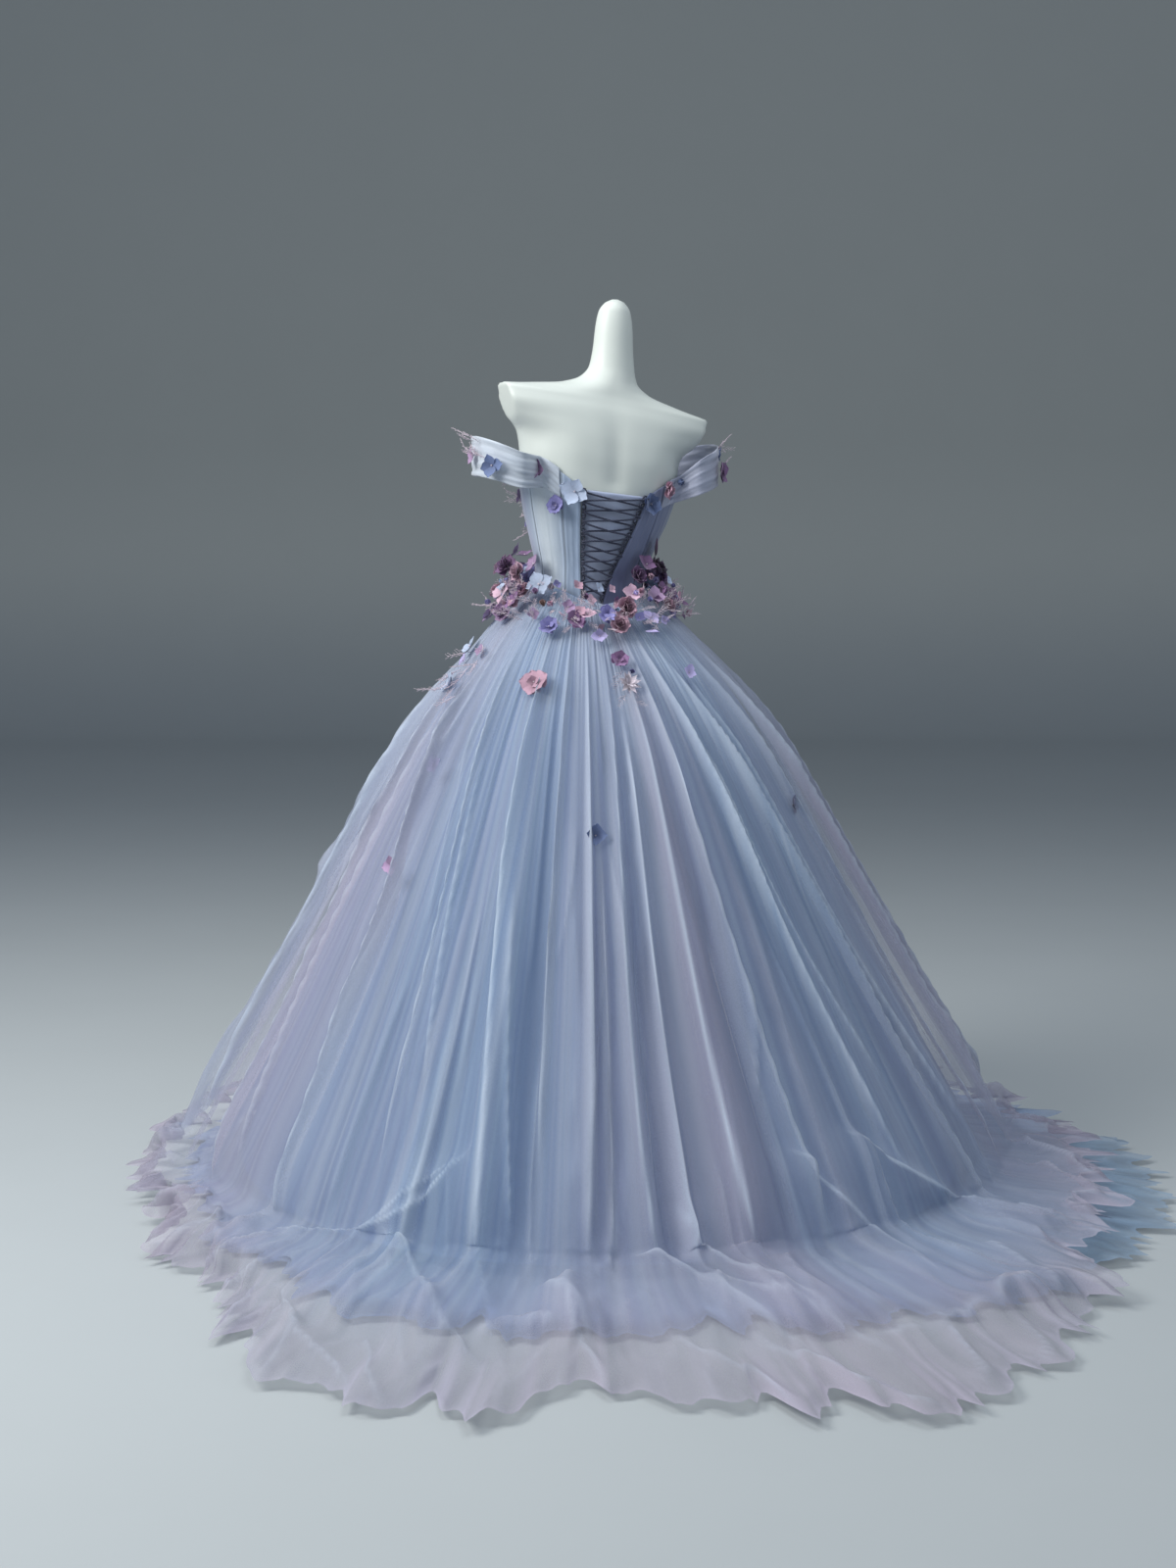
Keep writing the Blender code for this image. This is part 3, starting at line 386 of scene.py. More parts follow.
def mix(first, second, share):
    """Colours blended by share, which may be an array."""
    share = np.asarray(share, float)[..., None]
    return first * (1.0 - share) + second * share


def round_noise(angle, length, cells, rows, seed):
    """Smooth noise from -1 to 1 that closes round the gown: random values on a lattice of cells round by
    rows down, blended between neighbours with soft_step."""
    lattice = np.random.default_rng(seed).uniform(-1.0, 1.0, (cells, 64))
    x, y = np.mod(angle, 360.0) / 360.0 * cells, length * rows + 2.0
    i, j = np.floor(x).astype(int), np.floor(y).astype(int)
    a, b = soft_step(x - i), soft_step(y - j)
    i, k, j, m = i % cells, (i + 1) % cells, j % 64, (j + 1) % 64
    upper = lattice[i, j] * (1 - a) + lattice[k, j] * a
    lower = lattice[i, m] * (1 - a) + lattice[k, m] * a
    return upper * (1 - b) + lower * b


# -------------------- mesh making
def grid_quads(rows, columns, closed=False):
    """Quads of a grid of points, rows down by columns round, facing down x round; closed joins the last
    column to the first."""
    index = np.arange(rows * columns).reshape(rows, columns)
    if closed:
        index = np.concatenate([index, index[:, :1]], 1)
    corners = (index[:-1, :-1], index[1:, :-1], index[1:, 1:], index[:-1, 1:])
    return np.stack(corners, -1).reshape(-1, 4)


def new_piece(name, points, quads, material, numbers=None, colours=None, uv=None):
    """A mesh object at the origin from points and quads, with its point attributes: single numbers,
    colours and a UV pair for each point."""
    points = np.asarray(points, float).reshape(-1, 3)
    quads = np.asarray(quads, int)
    mesh = bpy.data.meshes.new(name)
    mesh.from_pydata(points.tolist(), [], quads.tolist())
    for label, values in (numbers or {}).items():
        attribute = mesh.attributes.new(label, "FLOAT", "POINT")
        attribute.data.foreach_set("value", np.asarray(values, np.float32).ravel())
    for label, values in (colours or {}).items():
        attribute = mesh.attributes.new(label, "FLOAT_COLOR", "POINT")
        values = np.asarray(values, np.float32).reshape(-1, 3)
        opaque = np.concatenate([values, np.ones((len(values), 1), np.float32)], 1)
        attribute.data.foreach_set("color", opaque.ravel())
    if uv is not None:
        layer = mesh.uv_layers.new(name="cloth_uv")
        layer.data.foreach_set("uv", np.asarray(uv, np.float32).reshape(-1, 2)[quads.ravel()].ravel())
    mesh.materials.append(material)
    mesh.shade_smooth()
    piece = bpy.data.objects.new(name, mesh)
    bpy.context.scene.collection.objects.link(piece)
    return piece


def wall_of(face, thickness):
    """A closed wall whose outer face is a grid of points, rows down by columns round: its back lies
    thickness inside, against down x round, and its rim closes it. Returns its points and quads."""
    rows, columns = face.shape[:2]
    normal = unit(np.cross(np.gradient(face, axis=0), np.gradient(face, axis=1)))
    points = np.concatenate([face.reshape(-1, 3), (face - thickness * normal).reshape(-1, 3)])
    front = grid_quads(rows, columns)
    index = np.arange(rows * columns).reshape(rows, columns)
    rim = np.concatenate([index[:-1, 0], index[-1, :-1], index[:0:-1, -1], index[0, :0:-1]])
    after = np.roll(rim, -1)
    under = rows * columns
    sides = np.stack([rim, rim + under, after + under, after], 1)
    return points, np.concatenate([front, front[:, ::-1] + under, sides])


def repeat_shape(points, quads, places, turns, sizes):
    """Copies of one shape as one mesh: each copy is size x turn x point + place. Returns points (copies
    x points x 3) and quads."""
    copies = np.einsum("nij,pj->npi", turns, points) * np.asarray(sizes)[:, None, None] + places[:, None]
    shifts = (np.arange(len(places)) * len(points))[:, None, None]
    return copies, (np.asarray(quads)[None] + shifts).reshape(-1, 4)


def tubes(paths, radii, sides):
    """Round tubes along many paths at once, paths (count x stations x 3) and radii (count x stations):
    rings of points square to each path, cos(turn) x across + sin(turn) x lift, closed at both ends by a
    ring of no radius. Returns points and quads."""
    paths = np.asarray(paths, float)
    ahead = unit(np.gradient(paths, axis=1))
    guide = np.where(np.abs(ahead[..., 2:]) < 0.9, [0.0, 0.0, 1.0], [1.0, 0.0, 0.0])
    across = unit(np.cross(ahead, guide))
    lift = np.cross(across, ahead)
    paths = np.concatenate([paths[:, :1], paths, paths[:, -1:]], 1)
    across = np.concatenate([across[:, :1], across, across[:, -1:]], 1)[:, :, None]
    lift = np.concatenate([lift[:, :1], lift, lift[:, -1:]], 1)[:, :, None]
    radii = np.pad(np.asarray(radii, float), ((0, 0), (1, 1)))[..., None, None]
    turn = np.arange(sides)[None, None, :, None] * 2.0 * np.pi / sides
    rings = paths[:, :, None] + radii * (np.cos(turn) * across + np.sin(turn) * lift)
    count, stations = rings.shape[:2]
    quads = grid_quads(stations, sides, closed=True)
    shifts = (np.arange(count) * stations * sides)[:, None, None]
    return rings.reshape(-1, 3), (quads[None] + shifts).reshape(-1, 4)


# -------------------- materials
def material_of(name, roughness, colour=(0.5, 0.5, 0.5), **constants):
    """A Principled material. Returns it, its nodes, its links and the shader; constants are the shader's
    own sockets, with _ for a space."""
    made = bpy.data.materials.new(name)
    made.use_nodes = True
    nodes, links = made.node_tree.nodes, made.node_tree.links
    surface = nodes["Principled BSDF"]
    surface.inputs["Base Color"].default_value = (*colour, 1.0)
    surface.inputs["Roughness"].default_value = roughness
    for socket, value in constants.items():
        surface.inputs[socket.replace("_", " ")].default_value = value
    return made, nodes, links, surface


def add_node(nodes, kind, **settings):
    """A shader node with its settings; a name of an input socket goes to that socket, with _ for a
    space."""
    node = nodes.new("ShaderNode" + kind)
    for name, value in settings.items():
        socket = node.inputs.get(name.replace("_", " "))
        if socket is not None:
            socket.default_value = value
        else:
            setattr(node, name, value)
    return node


def noise_bump(nodes, links, surface, scale, strength, distance, detail=3.0, stretch=(1.0, 1.0, 1.0)):
    """Bump from noise on the object's own coordinates, stretched along an axis."""
    place = add_node(nodes, "TexCoord")
    mapping = add_node(nodes, "Mapping", Scale=stretch)
    noise = add_node(nodes, "TexNoise", Scale=scale, Detail=detail, Roughness=0.6)
    bump = add_node(nodes, "Bump", Strength=strength, Distance=distance)
    links.new(place.outputs["Object"], mapping.inputs["Vector"])
    links.new(mapping.outputs["Vector"], noise.inputs["Vector"])
    links.new(noise.outputs["Fac"], bump.inputs["Height"])
    links.new(bump.outputs["Normal"], surface.inputs["Normal"])
    return noise


def speckled_colour(nodes, links, surface, attribute, noise, amount):
    """The colour attribute made a little lighter and darker by noise: colour x (1 - amount + 2 amount
    noise)."""
    colour = add_node(nodes, "Attribute", attribute_name=attribute)
    light = add_node(nodes, "MapRange", To_Min=1.0 - amount, To_Max=1.0 + amount)
    product = add_node(nodes, "VectorMath", operation="SCALE")
    links.new(noise.outputs["Fac"], light.inputs["Value"])
    links.new(colour.outputs["Color"], product.inputs[0])
    links.new(light.outputs["Result"], product.inputs["Scale"])
    links.new(product.outputs["Vector"], surface.inputs["Base Color"])


def tulle_material(name, sheen):
    """Sheer net: its colour and how much it covers come from the cloth, broken up by the net's fine
    grain."""
    made, nodes, links, surface = material_of(name, 0.75, Sheen_Weight=sheen, Sheen_Roughness=0.5)
    surface.inputs["Specular IOR Level"].default_value = 0.25
    grain = noise_bump(nodes, links, surface, 700.0, 0.20, 0.0006, detail=2.0)
    speckled_colour(nodes, links, surface, "tint", grain, 0.10)
    cover = add_node(nodes, "Attribute", attribute_name="cover")
    gaps = add_node(nodes, "MapRange", To_Min=0.78, To_Max=1.22)
    net = add_node(nodes, "Math", operation="MULTIPLY", use_clamp=True)
    links.new(grain.outputs["Fac"], gaps.inputs["Value"])
    links.new(cover.outputs["Fac"], net.inputs[0])
    links.new(gaps.outputs["Result"], net.inputs[1])
    links.new(net.outputs["Value"], surface.inputs["Alpha"])
    return made


def woven_material(name, roughness, scale, sheen):
    """Close cloth: its colour comes from the cloth, with a fine weave in bump."""
    made, nodes, links, surface = material_of(name, roughness, Sheen_Weight=sheen)
    grain = noise_bump(nodes, links, surface, scale, 0.25, 0.0008, detail=4.0, stretch=(1.0, 1.0, 0.35))
    speckled_colour(nodes, links, surface, "tint", grain, 0.10)
    return made


def petal_material():
    """Cut cloth petals: the colour comes from each petal, with veins and a soft nap."""
    made, nodes, links, surface = material_of("petal_cloth", 0.7, Sheen_Weight=0.25)
    veins = noise_bump(nodes, links, surface, 260.0, 0.35, 0.0008, detail=4.0)
    speckled_colour(nodes, links, surface, "tint", veins, 0.22)
    return made


def form_material():
    """The form's smooth white shell, with the faintest unevenness."""
    made, nodes, links, surface = material_of("form_shell", 0.42, Specular_IOR_Level=0.4)
    soft = noise_bump(nodes, links, surface, 14.0, 0.06, 0.002)
    speckled_colour(nodes, links, surface, "tint", soft, 0.03)
    return made


def steel_material():
    """Brushed steel, turned on the stand's axis."""
    made, nodes, links, surface = material_of("brushed_steel", 0.32, (0.56, 0.57, 0.58), Metallic=0.9)
    noise_bump(nodes, links, surface, 90.0, 0.15, 0.0005, stretch=(1.0, 1.0, 12.0))
    return made


def cord_material():
    """The lacing's satin cord, with a twist across it on the cord's own UV."""
    made, nodes, links, surface = material_of("lacing_cord", 0.45, shade(58, 66, 90), Sheen_Weight=0.1)
    place = add_node(nodes, "UVMap", uv_map="cloth_uv")
    twist = add_node(nodes, "TexWave", Scale=1.0, Distortion=0.6, bands_direction="DIAGONAL")
    # Painted light: the wave that raises the twist in bump also sets the colour, so the cord is painted
    # lighter on its raised strands and darker in its grooves, a painted highlight and shade.
    light = add_node(nodes, "ValToRGB")
    light.color_ramp.elements[0].color = (*shade(34, 38, 56), 1.0)
    light.color_ramp.elements[1].color = (*shade(66, 72, 96), 1.0)
    bump = add_node(nodes, "Bump", Strength=0.5, Distance=0.0006)
    links.new(place.outputs["UV"], twist.inputs["Vector"])
    links.new(twist.outputs["Fac"], light.inputs["Fac"])
    links.new(light.outputs["Color"], surface.inputs["Base Color"])
    links.new(twist.outputs["Fac"], bump.inputs["Height"])
    links.new(bump.outputs["Normal"], surface.inputs["Normal"])
    return made


# -------------------- the form's own shape
def take_stance(points):
    """Shifts each level sideways and tilts it, as the form stands: x + shift(z), z + x tan(tilt(z))."""
    heights = column(STANCE, STANCE_COLUMNS, "height")
    shift = along(points[..., 2], heights, column(STANCE, STANCE_COLUMNS, "shift"))
    tilt = along(points[..., 2], heights, column(STANCE, STANCE_COLUMNS, "tilt"))
    moved = points.copy()
    moved[..., 0] += shift
    moved[..., 2] += points[..., 0] * np.tan(np.radians(tilt))
    return moved


def form_outline(angle, height, grow=0.0):
    """A point of the form's outline, before its stance: a squared ellipse, deeper in front than behind,
    cut flat at the shoulders. grow moves it out."""
    heights = column(FORM_RINGS, FORM_COLUMNS, "height")
    half = along(height, heights, column(FORM_RINGS, FORM_COLUMNS, "half_width")) + grow
    front = along(height, heights, column(FORM_RINGS, FORM_COLUMNS, "front")) + grow
    back = along(height, heights, column(FORM_RINGS, FORM_COLUMNS, "back")) + grow
    power = along(height, heights, column(FORM_RINGS, FORM_COLUMNS, "power"))
    turn = np.radians(angle)
    cosine, sine = np.cos(turn), np.sin(turn)
    depth = np.where(sine < 0.0, front, back)
    reach = (np.abs(cosine) ** power + np.abs(sine) ** power) ** (-1.0 / power)
    cut = ARM_CUT_HALF - ARM_CUT_SLOPE * np.maximum(ARM_CUT_HEIGHT - height, 0.0) + grow
    cut = np.where(height > ARM_CUT_LOWEST, cut, half + grow)
    across = np.clip(half * cosine * reach, -cut, cut)
    return np.stack(np.broadcast_arrays(across, depth * sine * reach, height), -1)


def bodice_edge(from_back, which):
    """The height of the bodice's top or bottom edge."""
    return along(
        np.abs(np.mod(np.asarray(from_back) + 180.0, 360.0) - 180.0),
        column(BODICE_EDGES, BODICE_EDGE_COLUMNS, "from_back"),
        column(BODICE_EDGES, BODICE_EDGE_COLUMNS, which),
    )


def bodice_point(from_back, down, off):
    """A point on the bodice: from_back degrees round from the centre back towards the wearer's left,
    down its height as a share, and off the form's surface by off."""
    top, bottom = bodice_edge(from_back, "top"), bodice_edge(from_back, "bottom")
    height = top + (bottom - top) * down
    return take_stance(form_outline(90.0 - from_back, height, off))


def laced_edge(side, down):
    """Degrees from the centre back to the laced edge on a side, "left" or "right", at a share of the
    height."""
    shares = column(LACED_EDGES, LACED_EDGE_COLUMNS, "down")
    return along(down, shares, column(LACED_EDGES, LACED_EDGE_COLUMNS, side))


# -------------------- the skirt's shape
def fold_height(angle, length, scale):
    """How far the folds stand out at a point: the tallest of rounded ridges, each depth x growth x
    exp(-(away / width)^2), that start some way down and may turn."""
    total = np.zeros(np.broadcast(angle, length).shape)
    for at, turn, start, half, depth in FOLDS:
        away = np.mod(angle - at - turn * length + 180.0, 360.0) - 180.0
        width = half * (0.85 + 0.3 * length)
        grown = soft_step((length - start) / 0.5) * (0.35 + 0.65 * length)
        total = np.maximum(total, depth * grown * hill(away, width))
    return scale * total


def skirt_point(layer, angle, length):
    """A point on a skirt layer before its small creases: it leaves the bodice at the waist, springs out,
    falls to the floor and lies there to its hem. length runs from 0 at the waist to 1 at the hem."""
    angle, length = np.broadcast_arrays(np.asarray(angle, float), np.asarray(length, float))
    hem_angles = column(HEMS, HEM_COLUMNS, "angle")
    meets, middle_hem, outer_hem = (
        round_table(angle, hem_angles, column(HEMS, HEM_COLUMNS, name)) for name in HEM_COLUMNS[1:]
    )
    meets = meets - LAYER_INSET[layer]
    hem = {"under": meets + 0.02, "middle": middle_hem, "outer": outer_hem}[layer]

    waist_height = bodice_edge(angle - 90.0, "bottom") + SKIRT_TOP_LAP
    off = BODICE_EASE + BODICE_WALL + WAIST_LIFT[layer] + TULLE_WALL
    waist = form_outline(angle, waist_height, off)

    turn = np.radians(angle)
    out = np.stack([np.cos(turn), np.sin(turn)], -1)
    fall = length / FLOOR_SHARE
    left = 1.0 - fall
    dropped = 0.5 * (left + np.sqrt(left * left + CORNER_WIDTH**2))
    dropped = dropped / (0.5 * (1.0 + math.sqrt(1.0 + CORNER_WIDTH**2)))
    gone = np.clip(1.0 - dropped, 0.0, 1.0)
    swell = gone + FALL_SWELL * gone * (1.0 - gone) ** 3
    beyond = np.clip((length - FLOOR_SHARE) / (1.0 - FLOOR_SHARE), 0.0, 1.0)
    beyond = beyond * beyond * (2.0 - beyond) if layer != "under" else 0.0 * beyond
    flat = waist[..., :2] + (meets[..., None] * out - waist[..., :2]) * swell[..., None]
    flat = flat + (hem - meets)[..., None] * out * beyond[..., None]
    reach = np.linalg.norm(flat, axis=-1)

    level = np.full(reach.shape, LAYER_FLOOR[layer])
    if layer == "outer":
        past = soft_step((reach - middle_hem - 0.015) / 0.09)
        level = level + (HEM_FLOOR - level) * past
    height = level + (waist_height - level) * dropped
    lying = soft_step((fall - 0.86) / 0.22)
    stands = fold_height(angle, length, FOLD_SCALE[layer])
    flat = flat + out * (stands * (0.88 * (1.0 - lying) + 0.10 * lying))[..., None]
    share_up = 0.45 * (1.0 - lying) * soft_step(fall / 0.2) + 0.36 * lying
    flatten = 1.0 - 0.75 * soft_step((length - 0.90) / 0.10)
    height = height + stands * share_up * flatten
    return take_stance(np.concatenate([flat, height[..., None]], -1))


def skirt_normal(layer, angle, length):
    """Direction straight out of a skirt layer: down x round, from its slopes both ways."""
    step = 0.004
    low, high = np.clip(length - step, 0.0, 1.0), np.clip(length + step, 0.0, 1.0)
    down = skirt_point(layer, angle, high) - skirt_point(layer, angle, low)
    around = skirt_point(layer, angle + 0.6, length) - skirt_point(layer, angle - 0.6, length)
    return unit(np.cross(down, around))


def crease_field(angle, length, creases):
    """Height of the creases at each point, and how near it is to a sharp ridge, 0 to 1. A crease is a
    bent line in the cloth's own plane, and its cross-section is exp(-(away / width)^1.3), wider on the
    side it leans to."""
    height = np.zeros(angle.shape)
    ridge = np.zeros(angle.shape)
    for angle_0, length_0, angle_1, length_1, bow, width, tall, lean in creases:
        start = np.array([angle_0 * DEGREE_AT_HEM, length_0 * LENGTH_OF_SKIRT])
        end = np.array([angle_1 * DEGREE_AT_HEM, length_1 * LENGTH_OF_SKIRT])
        chord = end - start
        size = np.linalg.norm(chord)
        middle = 0.5 * (angle_0 + angle_1)
        near = np.mod(angle - middle + 180.0, 360.0) - 180.0 + middle
        x = near * DEGREE_AT_HEM - start[0]
        y = length * LENGTH_OF_SKIRT - start[1]
        share = (x * chord[0] + y * chord[1]) / size**2
        aside = bow * DEGREE_AT_HEM * 4.0 * share * (1.0 - share)
        away = (x * chord[1] - y * chord[0]) / size - aside
        gentle = np.where(away > 0.0, 1.0 + 3.0 * max(lean, 0.0), 1.0 + 3.0 * max(-lean, 0.0))
        fade = soft_step(share / 0.22) * soft_step((1.0 - share) / 0.18)
        shape = np.exp(-((np.abs(away) / (width * gentle)) ** 1.3)) * fade
        height += tall * shape
        if tall > 0.0:
            line = hill(away, 0.0022 + 0.10 * width) * fade
            ridge = np.maximum(ridge, line * min(1.0, tall / 0.016))
    return height, ridge


def loose_creases(seed, count, lengths, widths, heights):
    """Small creases strewn at random round a layer, each falling nearly straight down."""
    draw = np.random.default_rng(seed)
    angle = draw.uniform(-25.0, 335.0, count)
    start = draw.uniform(*lengths, count)
    size = draw.uniform(0.16, 0.55, count)
    turn = draw.normal(0.0, 2.2, count)
    end = np.minimum(start + size, 1.0)
    bow = draw.normal(0.0, 0.7, count)
    width = draw.uniform(*widths, count)
    tall = draw.uniform(*heights, count)
    lean = draw.uniform(-0.6, 0.6, count)
    return list(zip(angle, start, angle + turn, end, bow, width, tall, lean))


def floor_crumples(seed, count):
    """Small creases strewn over the cloth that lies on the floor, most of them running out to the hem."""
    draw = np.random.default_rng(seed)
    angle = draw.uniform(-25.0, 335.0, count)
    start = draw.uniform(0.80, 0.95, count)
    end = np.minimum(start + draw.uniform(0.05, 0.16, count), 1.02)
    turn = draw.normal(0.0, 5.0, count)
    bow = draw.normal(0.0, 1.0, count)
    width = draw.uniform(0.008, 0.016, count)
    tall = draw.uniform(0.004, 0.013, count)
    lean = draw.uniform(-0.6, 0.6, count)
    return list(zip(angle, start, angle + turn, end, bow, width, tall, lean))


# -------------------- the skirt's own cloth
# Each skirt layer: its gores, the first seam's angle, the grid of each gore, and its slot.
LAYERS = {
    "outer": {
        "gores": ("side_left", "back_left", "back_train", "side_right", "front_right", "front_left"),
        "start": -25.0,
        "rows": 200,
        "columns": 165,
        "slot": "tulle_outer",
    },
    "middle": {
        "gores": ("side_left", "back", "side_right", "front"),
        "start": -35.0,
        "rows": 110,
        "columns": 180,
        "slot": "tulle_middle",
    },
    "under": {
        "gores": ("side_left", "back", "side_right", "front"),
        "start": -45.0,
        "rows": 60,
        "columns": 100,
        "slot": "underskirt",
    },
}

# How lilac the outer tulle looks, from 0, blue, to 1, lilac, by angle round the gown.
LILAC_BY_ANGLE = (
    (0.0, 0.70),
    (14.0, 0.95),
    (26.0, 0.55),
    (38.0, 0.15),
    (56.0, 0.10),
    (68.0, 0.35),
    (80.0, 0.55),
    (90.0, 0.80),
    (99.0, 0.35),
    (112.0, 0.15),
    (124.0, 0.25),
    (136.0, 0.60),
    (150.0, 0.75),
    (176.0, 0.55),
    (205.0, 0.25),
    (235.0, 0.60),
    (270.0, 0.20),
    (305.0, 0.70),
    (335.0, 0.45),
)

TULLE_BLUE = shade(154, 177, 203)
TULLE_PALE = shade(186, 200, 216)
TULLE_LILAC = shade(182, 178, 196)
TULLE_ROSE = shade(172, 164, 180)
TULLE_DEEP = shade(106, 130, 180)
CORE_BLUE = shade(122, 147, 188)
# The underskirt's colour darkened in its fold hollows, a painted shade.
CORE_HOLLOW_SHADE = shade(90, 110, 166)
CORE_TEAL = shade(128, 158, 180)


def gathers(angle, length, seed):
    """The fine pleats that the gathered waist sends down the cloth: three runs of narrow waves round the
    gown, finest at the waist, each drifting a little and dying away. About -1 to 1."""
    drift = 1.6 * round_noise(angle, length, 36, 3.0, seed)
    drift = drift + 0.5 * round_noise(angle, length, 120, 5.0, seed + 1)
    fine = np.sin((angle + drift) * np.pi * 2.0 / 1.6) * (1.0 - soft_step(length / 0.34))
    middle = round_noise(angle + 0.5 * drift, length * 0.3, 300, 4.0, seed + 2)
    middle = middle * (1.0 - soft_step((length - 0.2) / 0.75)) * (1.0 - 0.6 * soft_step((length - 0.1) / 0.4))
    wide = round_noise(angle + drift, length * 0.25, 120, 4.0, seed + 3)
    return 0.22 * fine + 0.50 * middle + 0.8 * wide * soft_step(length / 0.25)


def skirt_cloth(layer, angle, length, settings):
    """A layer's points with all its creases, how much it covers and its colour, with painted highlights along
    the crease ridges and painted shade in the underskirt's fold hollows. A crease lifts the cloth along its
    own normal. Cover is 1 - (1 - flat cover)^(cloth used for each metre shown)."""
    angle, length = np.broadcast_arrays(angle, length)
    fall = length / FLOOR_SHARE
    lying = soft_step((fall - 0.90) / 0.20)
    depth = settings.crease_depth
    if layer == "outer":
        main, ridge = crease_field(angle, length, OUTER_CREASES)
        loose = loose_creases(11, 120, (0.02, 0.72), (0.0035, 0.009), (0.004, 0.011))
        loose = loose + floor_crumples(12, 130)
        small, fine_ridge = crease_field(angle, length, loose)
        crease = main * (1.32 - 0.32 * lying) + small * (0.4 + 0.6 * soft_step(fall / 0.3))
        ridge = np.maximum(ridge, 0.55 * fine_ridge)
        relief = 0.0030
    elif layer == "middle":
        loose = loose_creases(21, 100, (0.02, 0.75), (0.005, 0.014), (0.004, 0.012)) + floor_crumples(22, 80)
        crease, ridge = crease_field(angle, length, loose)
        crease = crease * (0.25 + 0.6 * soft_step(fall / 0.5))
        ridge = 0.7 * ridge
        relief = 0.0022
    else:
        loose = loose_creases(31, 50, (0.05, 0.6), (0.010, 0.020), (0.006, 0.014))
        crease, ridge = crease_field(angle, length, loose)
        crease = crease * (0.2 + 0.6 * soft_step(fall / 0.5))
        relief = 0.0012
    pleats = gathers(angle, length, {"outer": 40, "middle": 50, "under": 60}[layer])
    near_waist = soft_step(length / 0.05)
    lift = depth * crease * near_waist + relief * pleats * (0.35 + 0.65 * near_waist) * (1.0 - 0.5 * lying)
    if layer == "outer":
        crumple = round_noise(angle, length, 150, 22.0, 71) + 0.6 * round_noise(angle, length, 330, 44.0, 72)
        lift = lift + 0.006 * lying * (1.0 - np.abs(crumple))
    base = skirt_point(layer, angle, length)
    points = base + skirt_normal(layer, angle, length) * lift[..., None]

    if layer != "under":  # the hem's ragged teeth, coarse, middling and fine
        ragged = soft_step((length - 0.90) / 0.10)
        level = 0.0 * length + 1.0
        saw = 1.0 - 1.3 * np.abs(round_noise(angle, level, 84, 1.0, 81))
        saw = saw - 0.8 * np.abs(round_noise(angle, level, 260, 1.0, 82))
        fine_saw = round_noise(angle, level, 420, 1.0, 83)
        deep = 0.075 if layer == "outer" else 0.060
        tooth = (deep * (saw - 0.75) + 0.008 * fine_saw) * ragged
        points[..., :2] += unit(base[..., :2]) * tooth[..., None]
    points[..., 2] = np.maximum(points[..., 2], LOWEST_CLOTH)

    reach = np.linalg.norm(points[..., :2], axis=-1)
    run = np.gradient(points, axis=1)
    plain = np.gradient(base, axis=1)
    shown = np.maximum(np.linalg.norm(plain[..., :2], axis=-1), 1e-6)
    used = np.clip(np.linalg.norm(run, axis=-1) / shown, 1.0, 4.0)
    crowd = 1.0 + 1.3 * (1.0 - soft_step(reach / WAIST_PACKED))
    pool = soft_step((length - 0.84) / 0.12)
    flat_cover = {"outer": settings.outer_cover, "middle": settings.middle_cover, "under": 0.995}[layer]
    streak = round_noise(angle, length * 0.1, 700, 2.0, 91)
    streak = streak + 0.8 * round_noise(angle, length * 0.1, 260, 3.0, 92)
    cover = 1.0 - (1.0 - flat_cover) ** (used * crowd * (1.0 + 0.10 * streak) * (1.0 + 0.45 * pool))
    if layer != "under":
        cover = cover + (0.92 - cover) * 0.70 * ridge * (1.0 - 0.45 * lying)
        if layer == "middle":
            cover = cover * (1.0 - 0.45 * soft_step((length - 0.94) / 0.06))
        cover = np.clip(cover + 0.22 * hill(1.0 - length, 0.004), 0.0, 0.97)

    lilac = round_table(angle, *np.array(LILAC_BY_ANGLE).T) + 0.25 * round_noise(angle, length, 60, 3.0, 93)
    lilac, streak = np.clip(lilac, 0.0, 1.0), np.clip(streak, -1.0, 1.0)
    if layer == "outer":
        tint = mix(mix(TULLE_BLUE, TULLE_PALE, 0.5 + 0.5 * streak), TULLE_LILAC, lilac)
        tint = mix(tint, TULLE_PALE, 0.5 * (1.0 - soft_step(length / 0.45)))
        tint = mix(tint, TULLE_ROSE, 0.75 * pool)
        # Painted highlight: the outer net is made paler along each crease ridge.
        tint = mix(tint, TULLE_PALE * 1.08, 0.75 * ridge * (1.0 - 0.55 * lying))
    elif layer == "middle":
        teal = soft_step((angle - 108.0) / 14.0) * (1.0 - soft_step((angle - 165.0) / 14.0))
        tint = mix(mix(TULLE_BLUE, TULLE_DEEP, 0.45 - 0.3 * streak), TULLE_LILAC, 0.35 * lilac)
        tint = mix(tint, CORE_TEAL, 0.7 * teal * pool)
        # Painted highlight: the middle net is made paler along its crease ridges.
        tint = mix(tint, TULLE_PALE, 0.6 * ridge)
    else:
        # Painted shade: the underskirt's colour is darkened in the hollows between its big folds.
        hollow_shade = soft_step((0.5 - fold_height(angle, length, 1.0) / 0.04) / 0.8) * soft_step(length / 0.3)
        tint = mix(CORE_BLUE, CORE_HOLLOW_SHADE, 0.7 * hollow_shade)
    return points, cover, tint


